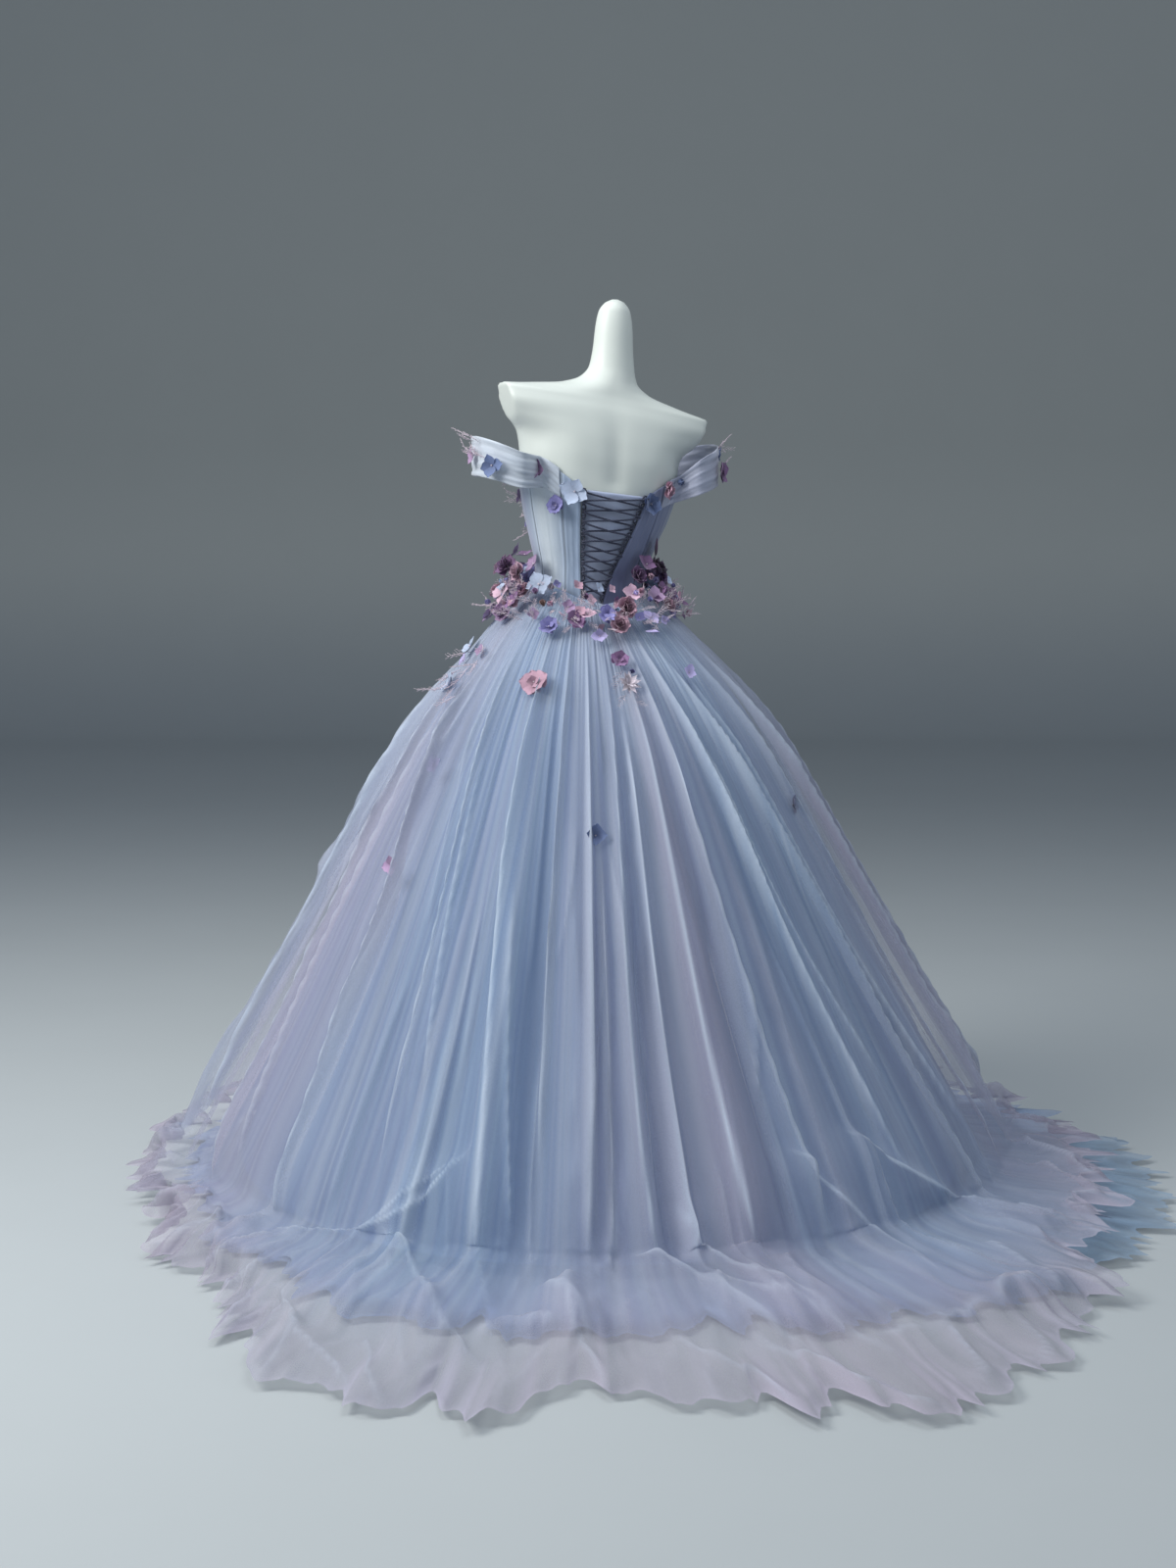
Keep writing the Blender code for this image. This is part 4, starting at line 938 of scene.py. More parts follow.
def make_skirt(layer, settings):
    """One layer's gores, each a single curved sheet sewn edge to edge with the next."""
    facts = LAYERS[layer]
    span = 360.0 / len(facts["gores"])
    below = {"outer": "middle", "middle": "under"}.get(layer)
    material = tulle_material(f"tulle_{layer}", 0.15 if below else 0.3)
    rows = np.linspace(0.0, 1.0, facts["rows"])
    # a layer that lies on the floor has its rows closer together there
    drawn_down = 0.10 * np.sin(np.pi * rows) ** 2 * (1.0 - rows) if below else 0.0
    length = (rows + drawn_down)[:, None]
    for k, gore in enumerate(facts["gores"]):
        first = facts["start"] + k * span
        angle = np.linspace(first, first + span, facts["columns"])[None, :]
        points, cover, tint = skirt_cloth(layer, angle, length, settings)
        uv = np.stack(np.broadcast_arrays((angle - first) / span, 1.0 - length), -1)
        quads = grid_quads(*points.shape[:2])
        name = f"{layer}_gore_{gore}"
        piece = new_piece(name, points, quads, material, {"cover": cover}, {"tint": tint}, uv)
        finish_piece(piece, facts["slot"], f"skirt_{layer}_{gore}")


def finish_piece(piece, slot, *nodes):
    """Every piece rides on the one body and stands for its CAD nodes, which it hides; slot is not used."""
    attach(piece, BODY)
    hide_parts(*nodes)


def cloth_wall(name, face, tint, thickness, material, slot, node):
    """A piece of close cloth: a wall behind the grid of its face, in the face's colours on both sides."""
    points, quads = wall_of(face, thickness)
    both = np.concatenate([tint.reshape(-1, 3)] * 2)
    piece = new_piece(name, points, quads, material, colours={"tint": both})
    finish_piece(piece, slot, node)


# -------------------- form, bodice, straps
FORM_WHITE = shade(214, 221, 215)


def make_form():
    """The form: its rings drawn finely through their table, with a groove down the spine and shoulder
    blades, and cut flat at each shoulder. Its ends are closed by rings of no radius."""
    heights = column(FORM_RINGS, FORM_COLUMNS, "height")
    between = [np.linspace(a, b, 7)[:-1] for a, b in zip(heights[:-1], heights[1:])]
    stations = np.concatenate(between + [heights[-1:]])
    angle = np.arange(0.0, 360.0, 4.0)[None, :]
    height = stations[:, None]
    rings = form_outline(angle, height)
    back = np.sin(np.radians(angle)) > 0.0
    side = np.cos(np.radians(angle))
    blade = hill(height - 1.315, 0.045) * hill(np.abs(side) - 0.50, 0.20) * 0.0055
    spine = hill(side, 0.11) * 0.0060 * hill(height - 1.285, 0.090)
    armpit = hill(height - 1.325, 0.022) * hill(np.abs(side) - 0.90, 0.14) * 0.0045
    depth = np.where(back, blade - spine - armpit, 0.0)
    depth = depth * (1.0 - soft_step((1.262 - height) / 0.02))
    rings[..., :2] += depth[..., None] * unit(rings[..., :2])
    ends = np.broadcast_to(rings[[0, -1]].mean(1, keepdims=True), (2,) + rings.shape[1:])
    rings = take_stance(np.concatenate([ends[:1], rings, ends[1:]]))
    tint = mix(FORM_WHITE, FORM_WHITE * 0.96, soft_step((1.30 - rings[..., 2]) / 0.4))
    quads = grid_quads(*rings.shape[:2], closed=True)[:, ::-1]
    piece = new_piece("form_body", rings, quads, form_material(), colours={"tint": tint})
    weld(piece)
    finish_piece(piece, "form_white", "dress_form")


def weld(piece):
    """Merges the points of a closed end into one."""
    work = bmesh.new()
    work.from_mesh(piece.data)
    bmesh.ops.remove_doubles(work, verts=work.verts, dist=1e-5)
    bmesh.ops.dissolve_degenerate(work, edges=work.edges, dist=1e-6)
    work.to_mesh(piece.data)
    work.free()


BODICE_PALE = shade(194, 205, 213)
BODICE_BLUE = shade(142, 160, 184)
BODICE_LILAC = shade(158, 162, 188)
# The slate of the right back panel, partly its colour and partly painted shade.
BODICE_SLATE_AND_SHADE = shade(98, 104, 138)
PANEL_GREY = shade(166, 177, 202)


def bodice_tint(from_back, down):
    """Pale cream over the wearer's left back, partly the cloth's colour and partly a painted highlight on the
    lit side; blue along the bones; lilac at the side; slate on the right of the lacing, partly the cloth's
    colour and partly painted shade on the side away from the key light."""
    # Painted highlight in part: the pale cream is strongest on the wearer's left, the side the key light
    # falls on.
    cream = hill(from_back - 62.0, 18.0) + 0.5 * hill(from_back - 150.0, 40.0)
    tint = mix(BODICE_BLUE + 0.0 * np.asarray(from_back)[..., None], BODICE_PALE, np.clip(cream, 0.0, 1.0))
    tint = mix(tint, BODICE_LILAC, 0.8 * hill(np.abs(from_back) - 104.0, 16.0))
    # Painted shade in part: the slate right of the lacing also stands for the shade away from the key light.
    slate = soft_step((12.0 - from_back) / 10.0) * soft_step((from_back + 84.0) / 20.0)
    return mix(tint, BODICE_SLATE_AND_SHADE, 0.90 * slate * (0.8 + 0.2 * down))


BONE_IN = 0.0042  # from a seam to the middle of the bone beside it


def make_bodice():
    """The boned panels: each is a wall whose face stands out in bones along its seams and down its
    middle, with soft drag lines between."""
    material = woven_material("bodice_cloth", 0.55, 900.0, 0.5)
    back, side_back, side, front = BODICE_SEAMS
    spans = [("back_left", "left", back), ("back_right", -back, "right")]
    pairs = (("side_back", back, side_back), ("side", side_back, side), ("side_front", side, front))
    for part, first, last in pairs:
        spans += [(f"{part}_left", first, last), (f"{part}_right", -last, -first)]
    spans.append(("centre_front", front, 360.0 - front))
    down = np.linspace(0.0, 1.0, 56)[:, None]
    for part, first, last in spans:
        ends = [laced_edge(end, down) if isinstance(end, str) else end + 0.0 * down for end in (first, last)]
        share = np.linspace(0.0, 1.0, max(14, int((ends[1] - ends[0]).max() * 1.1)))[None, :]
        from_back = ends[0] * (1.0 - share) + ends[1] * share
        from_seam = np.radians(np.minimum(from_back - ends[0], ends[1] - from_back)) * BODICE_RADIUS
        bone = 0.0011 * hill(from_seam - BONE_IN, 0.0018)
        piped = -0.0008 * hill(from_seam, 0.0010)
        if part.startswith("back_"):
            piped = 0.0016 * hill(from_seam, 0.0012)
        drag = 0.0006 * round_noise(from_back, down + 0.004 * from_back, 90, 9.0, 101)
        middle_bone = 0.0007 * hill(from_back - 0.5 * (ends[0] + ends[1]), 1.0)
        off = BODICE_EASE + BODICE_WALL + bone + piped + drag + middle_bone
        face = bodice_point(from_back, down + 0.0 * share, off)
        # Painted light: the colour is made lighter along each raised bone, a painted highlight, and darker
        # along each seam, partly the seam's own line and partly painted shade.
        light = (1.0 + 0.20 * hill(from_seam - BONE_IN, 0.0016)) * (1.0 - 0.42 * hill(from_seam, 0.0014))
        tint = bodice_tint(from_back, down + 0.0 * share) * light[..., None]
        cloth_wall(f"bodice_cloth_{part}", face[:, ::-1], tint[:, ::-1], BODICE_WALL * 0.8, material,
                   "bodice_tulle", f"bodice_{part}")
    make_modesty(down)


def make_modesty(down):
    """The panel behind the lacing, drawn into soft level creases by the laces, under a folded top edge."""
    material = woven_material("modesty_satin", 0.42, 700.0, 0.3)
    slot = math.degrees(0.0016 / BODICE_RADIUS)
    first, last = laced_edge("right", down) + slot, laced_edge("left", down) - slot
    share = np.linspace(0.0, 1.0, 50)[None, :]
    turn = first * (1.0 - share) + last * share
    arch = down + 0.03 * np.sin(np.pi * share) * soft_step(down / 0.2)
    level = round_noise(turn * 0.5, arch, 24, 15.0, 111) + 0.5 * round_noise(turn, arch, 40, 30.0, 112)
    fold = 0.0012 * hill(down - 0.012, 0.010) + 0.0008 * hill(down - 0.050, 0.008)
    off = MODESTY_EASE + TULLE_WALL + 0.0007 * level + fold
    face = bodice_point(turn, 0.015 + 0.985 * down + 0.0 * share, off)
    # Painted light: the panel is painted lighter where its creases stand out and along its folded top edge, a
    # painted highlight, and darker towards both laced edges, a painted shade.
    light = 1.0 + 0.22 * level + 0.35 * hill(down - 0.012, 0.012) - 0.25 * (np.abs(share - 0.5) * 2.0) ** 3
    tint = PANEL_GREY * np.clip(light, 0.5, 1.6)[..., None]
    cloth_wall("modesty_satin", face[:, ::-1], tint[:, ::-1], 0.0008, material,
               "panel_satin", "modesty_panel")


def make_lacing():
    """The rouleau loops down each laced edge and the two laces that cross between them."""
    cord = cord_material()
    off = BODICE_EASE + TULLE_WALL + CLEAR + 0.5 * LOOP_THICK
    count = 14
    bend = np.linspace(-0.62 * np.pi, 0.62 * np.pi, 13)[None, :]
    centre = np.linspace(0.03, LACED_SHARE - 0.02, count)[:, None]
    for side, way in (("left", -1.0), ("right", 1.0)):
        inwards = np.maximum(0.5 * LOOP_REACH * (1.0 + 1.1 * np.cos(bend)), 0.0) + 0.0 * centre
        down = centre + 0.024 * np.sin(bend) * (0.9 + 0.3 * np.cos(bend))
        turn = laced_edge(side, down) + way * np.degrees(inwards / BODICE_RADIUS)
        paths = bodice_point(turn, down, off)
        points, quads = tubes(paths, np.full(paths.shape[:2], 0.0017), 8)
        piece = new_piece(f"rouleau_loops_{side}", points, quads, cord, uv=tube_uv(*paths.shape[:2], 8))
        finish_piece(piece, "lace_cord", f"loops_{side}")
    share = np.linspace(0.0, 1.0, LACE_CROSSINGS * 16 + 1)
    swing = np.cos(np.pi * share * LACE_CROSSINGS)
    swing = 0.6 * swing + 0.4 * (2.0 / np.pi) * np.arcsin(np.clip(swing, -1.0, 1.0))
    down = 0.03 + (LACED_SHARE - 0.05) * share
    left, right = laced_edge("left", down), laced_edge("right", down)
    reach = 0.5 * (left - right) - math.degrees(0.5 * LOOP_REACH / BODICE_RADIUS)
    base = BODICE_EASE + TULLE_WALL + CLEAR + LOOP_THICK + LACE_RADIUS + 4.0 * CLEAR
    for name, way, level in (("under", 1.0, 0.0), ("over", -1.0, 2.4 * LACE_RADIUS)):
        path = bodice_point(0.5 * (left + right) + way * swing * reach, down, base + level)[None]
        points, quads = tubes(path, np.full(path.shape[:2], LACE_RADIUS), 10)
        piece = new_piece(f"lace_run_{name}", points, quads, cord, uv=tube_uv(1, path.shape[1], 10))
        finish_piece(piece, "lace_cord", f"lace_{name}")


def tube_uv(count, stations, sides):
    """UV for tubes: a turn round the tube by its stations, so that a twist winds along it."""
    round_share = np.arange(sides) / sides
    v, u = np.meshgrid(np.arange(stations + 2) * 0.8, round_share * 2.0, indexing="ij")
    return np.tile(np.stack([u, v], -1).reshape(-1, 2), (count, 1))


def strap_point(side, share_down, share_along):
    """Points on a strap's outer face, across its width by along it from its back end round the arm to
    its front end. Its stations are read with a smooth curve."""
    off = BODICE_EASE + BODICE_WALL + STRAP_OFF_BODICE + TULLE_WALL
    arm = np.array(STRAP_ROUND_ARM, float)
    middle = arm[:, :3] * np.array([side, 1.0, 1.0])
    if side < 0:
        middle = middle + np.array([STRAP_RIGHT_SHIFT, 0.0, STRAP_RIGHT_DROP])
    width = np.linspace(0.0, 1.0, share_down.size)[:, None]
    round_arm = middle[None] + np.array([0.0, 0.0, 1.0]) * (arm[:, 3][None] * (0.5 - width))[..., None]
    down = STRAP_END_TOP + (STRAP_END_LOW - STRAP_END_TOP) * width
    back = bodice_point(side * np.array(STRAP_BACK_ENDS)[None] + 0.0 * down, down, off)
    front = bodice_point(side * np.array(STRAP_FRONT_ENDS)[None] + 0.0 * down, down, off)
    stations = np.concatenate([back, round_arm, front], 1)
    xs = np.linspace(0.0, 1.0, stations.shape[1])
    return np.stack([np.stack([along(share_along, xs, row[:, k]) for k in range(3)], -1) for row in stations])


def make_straps():
    """Each strap is a soft gathered band: its face carries long pleats that run round the arm."""
    material = woven_material("strap_tulle", 0.6, 900.0, 0.5)
    for side, name in ((1.0, "left"), (-1.0, "right")):
        down, round_arm = np.linspace(0.0, 1.0, 26), np.linspace(0.0, 1.0, 150)
        face = strap_point(side, down, round_arm)
        normal = unit(np.cross(-np.gradient(face, axis=0), np.gradient(face, axis=1))) * side
        v, u = np.meshgrid(down, round_arm, indexing="ij")
        pleat = round_noise(u * 200.0, v + 0.15 * np.sin(5.0 * u), 14, 13.0, 121 + int(side))
        pleat = pleat + 0.5 * round_noise(u * 200.0, v, 40, 24.0, 123)
        free = soft_step(u / 0.25) * soft_step((1.0 - u) / 0.25)
        face = face + normal * (0.0016 * pleat * (0.3 + 0.7 * free))[..., None]
        lilac = 0.25 if side > 0 else 0.75
        # Painted light: each strap is painted lighter on its raised pleats and darker in their troughs, a
        # painted highlight and shade.
        light = np.clip(1.0 + 0.14 * pleat, 0.6, 1.3)
        tint = mix(BODICE_PALE, BODICE_LILAC * 0.9, lilac) * light[..., None]
        if side > 0:
            face, tint = face[:, ::-1], tint[:, ::-1]
        cloth_wall(f"strap_cloth_{name}", face, tint, TULLE_WALL, material,
                   "bodice_tulle", f"strap_{name}")


# -------------------- the flowers
FLOWER_COLOURS = {
    "pink": shade(196, 164, 182),
    "rose": shade(180, 144, 162),
    "mauve": shade(160, 134, 168),
    "plum": shade(124, 92, 132),
    "dark_plum": shade(78, 58, 84),
    "violet": shade(128, 126, 180),
    "lilac": shade(176, 168, 212),
    "pale_blue": shade(178, 192, 216),
    "deep_blue": shade(92, 108, 146),
    "slate": shade(110, 112, 142),
    "cream": shade(198, 188, 198),
    "brown": shade(150, 122, 116),
    "sprig": shade(222, 206, 216),
}

# Petal shapes: half width as a share of length, cup along it, fold across it, and how blunt its tip is.
PETALS = {
    "round": (0.46, 0.20, 0.16, 0.42),
    "wide": (0.66, 0.30, -0.12, 0.40),
    "narrow": (0.20, 0.16, 0.10, 0.70),
    "leaf": (0.30, 0.34, 0.22, 0.95),
}

# Flower kinds: rings of petals as (petal shape, petals, tilt up in degrees, size as a share of the radius,
# lift).
KINDS = {
    "hydrangea": (("round", 4, 14.0, 1.00, 0.0),),
    "pansy": (("wide", 5, 12.0, 1.00, 0.0), ("round", 3, 34.0, 0.55, 0.10)),
    "rose": (
        ("wide", 5, 16.0, 1.00, 0.0),
        ("wide", 5, 40.0, 0.80, 0.10),
        ("wide", 4, 62.0, 0.60, 0.18),
        ("round", 3, 78.0, 0.42, 0.24),
    ),
    "rose_open": (("wide", 5, 10.0, 1.00, 0.0), ("round", 4, 30.0, 0.60, 0.08)),
    "star": (("narrow", 10, 12.0, 1.00, 0.0), ("narrow", 8, 36.0, 0.75, 0.06)),
    "bud": (("round", 4, 62.0, 1.00, 0.0), ("round", 3, 78.0, 0.80, 0.06)),
    "leaf": (("leaf", 1, 24.0, 1.00, 0.0),),
}
OPEN_KINDS = ("hydrangea", "pansy", "star", "rose_open")  # these show a pale middle

# Flowers placed one by one on the garland: angle, length down the skirt, lift off it, rise above it, kind,
# radius and colour.
GARLAND = (
    (-30.0, 0.010, 0.020, 0.020, "rose", 0.024, "mauve"),
    (-24.0, 0.045, 0.012, 0.000, "hydrangea", 0.022, "plum"),
    (-20.0, 0.020, 0.034, 0.034, "hydrangea", 0.023, "pink"),
    (-15.0, 0.030, 0.022, 0.008, "rose", 0.023, "rose"),
    (-11.0, 0.004, 0.026, 0.044, "hydrangea", 0.019, "mauve"),
    (-8.0, 0.050, 0.014, 0.000, "hydrangea", 0.021, "mauve"),
    (-4.0, 0.016, 0.030, 0.028, "rose", 0.024, "plum"),
    (1.0, 0.030, 0.024, 0.006, "hydrangea", 0.024, "pink"),
    (5.0, 0.000, 0.020, 0.040, "hydrangea", 0.019, "plum"),
    (9.0, 0.046, 0.012, 0.000, "rose", 0.019, "mauve"),
    (12.0, 0.014, 0.026, 0.022, "rose", 0.022, "pink"),
    (17.0, 0.034, 0.018, 0.004, "hydrangea", 0.021, "plum"),
    (20.0, 0.004, 0.018, 0.030, "hydrangea", 0.020, "mauve"),
    (24.0, 0.022, 0.018, 0.008, "rose", 0.019, "rose"),
    (32.0, 0.014, 0.018, 0.010, "hydrangea", 0.028, "pale_blue"),
    (39.0, 0.026, 0.010, 0.000, "bud", 0.014, "brown"),
    (42.0, 0.010, 0.010, 0.008, "bud", 0.012, "cream"),
    (49.0, 0.050, 0.010, 0.000, "pansy", 0.021, "violet"),
    (57.0, 0.022, 0.010, 0.002, "hydrangea", 0.015, "mauve"),
    (64.0, 0.034, 0.012, 0.000, "pansy", 0.019, "plum"),
    (71.0, 0.030, 0.014, 0.004, "hydrangea", 0.020, "pink"),
    (78.0, 0.050, 0.010, 0.000, "hydrangea", 0.017, "lilac"),
    (84.0, 0.026, 0.014, 0.004, "pansy", 0.019, "violet"),
    (92.0, 0.036, 0.014, 0.000, "rose", 0.020, "rose"),
    (99.0, 0.022, 0.018, 0.006, "rose", 0.026, "rose"),
    (107.0, 0.046, 0.010, 0.000, "leaf", 0.030, "lilac"),
    (110.0, 0.012, 0.018, 0.014, "hydrangea", 0.022, "pink"),
    (116.0, 0.034, 0.014, 0.000, "hydrangea", 0.019, "lilac"),
    (121.0, 0.004, 0.018, 0.030, "rose", 0.021, "plum"),
    (127.0, 0.022, 0.020, 0.010, "hydrangea", 0.022, "mauve"),
    (133.0, 0.000, 0.020, 0.042, "hydrangea", 0.021, "plum"),
    (138.0, 0.030, 0.014, 0.002, "rose", 0.020, "rose"),
    (144.0, 0.008, 0.022, 0.034, "rose", 0.022, "dark_plum"),
    (150.0, 0.000, 0.020, 0.052, "leaf", 0.040, "dark_plum"),
    (152.0, 0.026, 0.018, 0.008, "hydrangea", 0.021, "plum"),
    (160.0, 0.010, 0.022, 0.030, "hydrangea", 0.023, "plum"),
    (166.0, 0.030, 0.012, 0.000, "hydrangea", 0.018, "mauve"),
    (172.0, 0.010, 0.018, 0.016, "rose", 0.021, "plum"),
)
# The sprays of the garland, one over each outer gore in turn.
WAIST_SPRAYS = ("side_left", "back_left", "back_right", "side_right", "front_right", "front_left")
SPRAY_KINDS = ("hydrangea", "rose", "hydrangea", "pansy", "rose")
SPRAY_COLOURS = ("mauve", "plum", "pink", "rose", "lilac", "violet", "pale_blue")

# The trails' flowers. On the hip: angle, length, radius, colour. In the tail: angle, length, lift, kind,
# radius, colour. On each strap: share along, share down, kind, radius, colour.
HIP_FLOWERS = (
    (-4.0, 0.088, 0.022, "pale_blue"),
    (4.0, 0.135, 0.024, "pale_blue"),
    (0.0, 0.105, 0.014, "lilac"),
    (12.0, 0.090, 0.013, "mauve"),
)
TAIL_FLOWERS = (
    (86.0, 0.078, 0.008, "pansy", 0.018, "plum"),
    (87.5, 0.108, 0.008, "star", 0.022, "cream"),
    (90.5, 0.092, 0.006, "bud", 0.010, "violet"),
)
STRAP_FLOWERS = {
    "left": ((0.385, 0.60, "hydrangea", 0.024, "deep_blue"), (0.50, 0.45, "hydrangea", 0.018, "mauve")),
    "right": ((0.40, 0.62, "pansy", 0.022, "plum"), (0.50, 0.25, "hydrangea", 0.016, "deep_blue")),
}

# Single blossoms on the skirt, by the CAD node they stand for: angle, length, kind, radius, colour.
SKIRT_BLOSSOMS = {
    "blossom_skirt_pink": (50.0, 0.118, "rose_open", 0.025, "rose"),
    "blossom_skirt_faint": (22.0, 0.235, "hydrangea", 0.018, "lilac"),
    "blossom_skirt_mauve": (22.0, 0.365, "hydrangea", 0.020, "mauve"),
    "blossom_skirt_blue": (72.0, 0.300, "hydrangea", 0.020, "deep_blue"),
    "blossom_skirt_plum": (131.0, 0.290, "hydrangea", 0.020, "slate"),
    "blossom_skirt_lilac": (117.0, 0.105, "hydrangea", 0.016, "lilac"),
}

# Blossoms along the bodice's top: degrees from the centre back, share down, kind, radius, colour.
NECK_BLOSSOMS = {
    "blossom_neck_pale": (30.0, 0.070, "hydrangea", 0.029, "pale_blue"),
    "blossom_neck_violet": (45.0, 0.290, "pansy", 0.019, "violet"),
    "blossom_neck_mauve": (60.0, 0.090, "hydrangea", 0.024, "plum"),
    "blossom_neck_blue": (-27.0, 0.080, "pansy", 0.021, "deep_blue"),
    "blossom_neck_rose": (-40.5, 0.030, "rose", 0.018, "rose"),
    "blossom_neck_bud": (-53.0, 0.010, "bud", 0.014, "deep_blue"),
}


def petal_shape(name):
    """One petal along +X, facing +Z, of length 1: half width from an ellipse, or from sin(pi u)^blunt
    where the tip is narrow, with a cup along it and a fold across it."""
    half, cup, fold, blunt = PETALS[name]
    u, v = np.meshgrid(1.0 - np.linspace(1.0, 0.0, 7) ** 1.5, np.linspace(-1.0, 1.0, 5), indexing="ij")
    leafy = np.sin(np.pi * np.clip(0.04 + 0.93 * u, 0.0, 1.0)) ** blunt
    rounded = np.sqrt(np.clip(1.0 - ((u - 0.57) / 0.45) ** 2, 0.02, 1.0))
    wide = half * (rounded if blunt < 0.5 else leafy)
    points = np.stack([u - 0.16 * v * v * u, v * wide, cup * u * u - 0.10 * u**3 + fold * v * v * wide], -1)
    return points.reshape(-1, 3), grid_quads(7, 5)


def facing(out, roll):
    """A turn whose Z axis is out and whose X axis is rolled round it by roll degrees."""
    out = unit(np.asarray(out, float))
    guide = np.array([0.0, 0.0, 1.0]) if abs(out[2]) < 0.9 else np.array([1.0, 0.0, 0.0])
    side = unit(np.cross(guide, out))
    up = np.cross(out, side)
    turn = math.radians(roll)
    ahead = math.cos(turn) * side + math.sin(turn) * up
    return np.stack([ahead, np.cross(out, ahead), out], -1)


class Bouquet:
    """Petals and sprigs gathered into one mesh."""

    def __init__(self, seed, cloth):
        self.draw = np.random.default_rng(seed)
        self.cloth = cloth
        self.petals = {name: [] for name in PETALS}
        self.stems = []

    def flower(self, kind, seat, out, radius, colour):
        """A flower of a kind at seat: each petal is its ring's turn x its tilt, with its own small
        unevenness."""
        base = facing(out, self.draw.uniform(0.0, 360.0))
        tint = FLOWER_COLOURS[colour] * self.draw.uniform(0.85, 1.15)
        for ring, (shape, count, tilt, size, lift) in enumerate(KINDS[kind]):
            for k in range(count):
                turn = math.radians(360.0 * (k + 0.5 * ring) / count + self.draw.normal(0.0, 5.0))
                rise = math.radians(tilt + self.draw.normal(0.0, 9.0))
                c, s = math.cos(turn), math.sin(turn)
                spin = np.array([[c, -s, 0.0], [s, c, 0.0], [0.0, 0.0, 1.0]])
                c, s = math.cos(rise), math.sin(rise)
                lean = np.array([[c, 0.0, -s], [0.0, 1.0, 0.0], [s, 0.0, c]])
                place = seat + base[:, 2] * radius * (lift + 0.05)
                light = tint * self.draw.uniform(0.80, 1.22) * (1.0 - 0.10 * ring)
                size_here = radius * size * self.draw.uniform(0.9, 1.1)
                self.petals[shape].append((place, base @ spin @ lean, size_here, light))
        if kind in OPEN_KINDS:
            foot = seat + base[:, 2] * radius * 0.02
            stamen = np.stack([foot, foot + base[:, 2] * radius * 0.20])
            self.stems.append((stamen, (0.09 * radius, 0.07 * radius), "cream"))

    def sprig(self, seat, ahead, out, size):
        """A feathery sprig: a bent stem with short barbs to both sides, shorter towards its tip."""
        ahead, out = unit(np.asarray(ahead, float)), unit(np.asarray(out, float))
        side = unit(np.cross(out, ahead))
        bend = self.draw.normal(0.0, 0.25)
        share = np.linspace(0.0, 1.0, 6)[:, None]
        stem = seat + size * (share * ahead + 0.5 * bend * share**2 * side + 0.16 * share * out)
        self.stems.append((stem, np.linspace(0.0006, 0.0003, 6), "sprig"))
        for k in range(13):
            at = 0.12 + 0.85 * k / 12.0
            way = 1.0 if k % 2 else -1.0
            foot = np.array([np.interp(at, share[:, 0], stem[:, i]) for i in range(3)])
            length = size * 0.40 * (1.0 - 0.55 * at) * self.draw.uniform(0.7, 1.25)
            aside = way * side * self.draw.uniform(0.6, 1.1)
            tip = unit(ahead * 0.75 + aside + out * self.draw.normal(0.25, 0.3))
            knee = foot + tip * length * 0.55
            end = knee + unit(tip + 0.5 * ahead) * length * 0.45
            self.stems.append((np.stack([foot, knee, end]), (0.0005, 0.0004, 0.0002), "sprig"))
            fork = knee + unit(tip * 0.5 + way * side * 0.3 + out * 0.6 + ahead * 0.5) * length * 0.4
            self.stems.append((np.stack([knee, fork]), (0.0004, 0.0002), "sprig"))

    def make(self, name, node):
        """One joined mesh of everything gathered: petals darker at the foot than at the tip, then the
        stems."""
        points, quads, tints, total = [], [], [], 0
        for shape, found in self.petals.items():
            if not found:
                continue
            template, faces = petal_shape(shape)
            places, turns, sizes, colours = (np.array(part) for part in zip(*found))
            copies, faces = repeat_shape(template, faces, places, turns, sizes)
            edge = 0.82 + 0.36 * np.clip(template[:, 0], 0.0, 1.0)
            points.append(copies.reshape(-1, 3))
            quads.append(faces + total)
            tints.append((colours[:, None] * edge[None, :, None]).reshape(-1, 3))
            total += len(points[-1])
        for stations in (2, 3, 6):
            found = [stem for stem in self.stems if len(stem[0]) == stations]
            if not found:
                continue
            rings, faces = tubes([stem[0] for stem in found], [stem[1] for stem in found], 3)
            points.append(rings)
            quads.append(faces + total)
            colours = np.array([FLOWER_COLOURS[stem[2]] for stem in found])
            tints.append(np.repeat(colours, len(rings) // len(found), axis=0))
            total += len(rings)
        tint = {"tint": np.concatenate(tints)}
        piece = new_piece(name, np.concatenate(points), np.concatenate(quads), self.cloth, colours=tint)
        finish_piece(piece, "cloth_flowers", node)


def on_skirt(angle, length, lift, rise=0.0):
    """A seat on the outer skirt and its direction out."""
    angle, length = np.array([float(angle)]), np.array([float(max(length, 0.004))])
    out = skirt_normal("outer", angle, length)[0]
    seat = skirt_point("outer", angle, length)[0] + out * lift + np.array([0.0, 0.0, rise])
    return seat, unit(out + np.array([0.0, 0.0, -0.25]))


def on_bodice(from_back, down, lift):
    """A seat on the bodice and its direction out."""
    seat = bodice_point(from_back, down, BODICE_EASE + BODICE_WALL + lift)
    beyond = bodice_point(from_back, down, BODICE_EASE + BODICE_WALL + lift + 0.01)
    return seat, unit(beyond - seat)


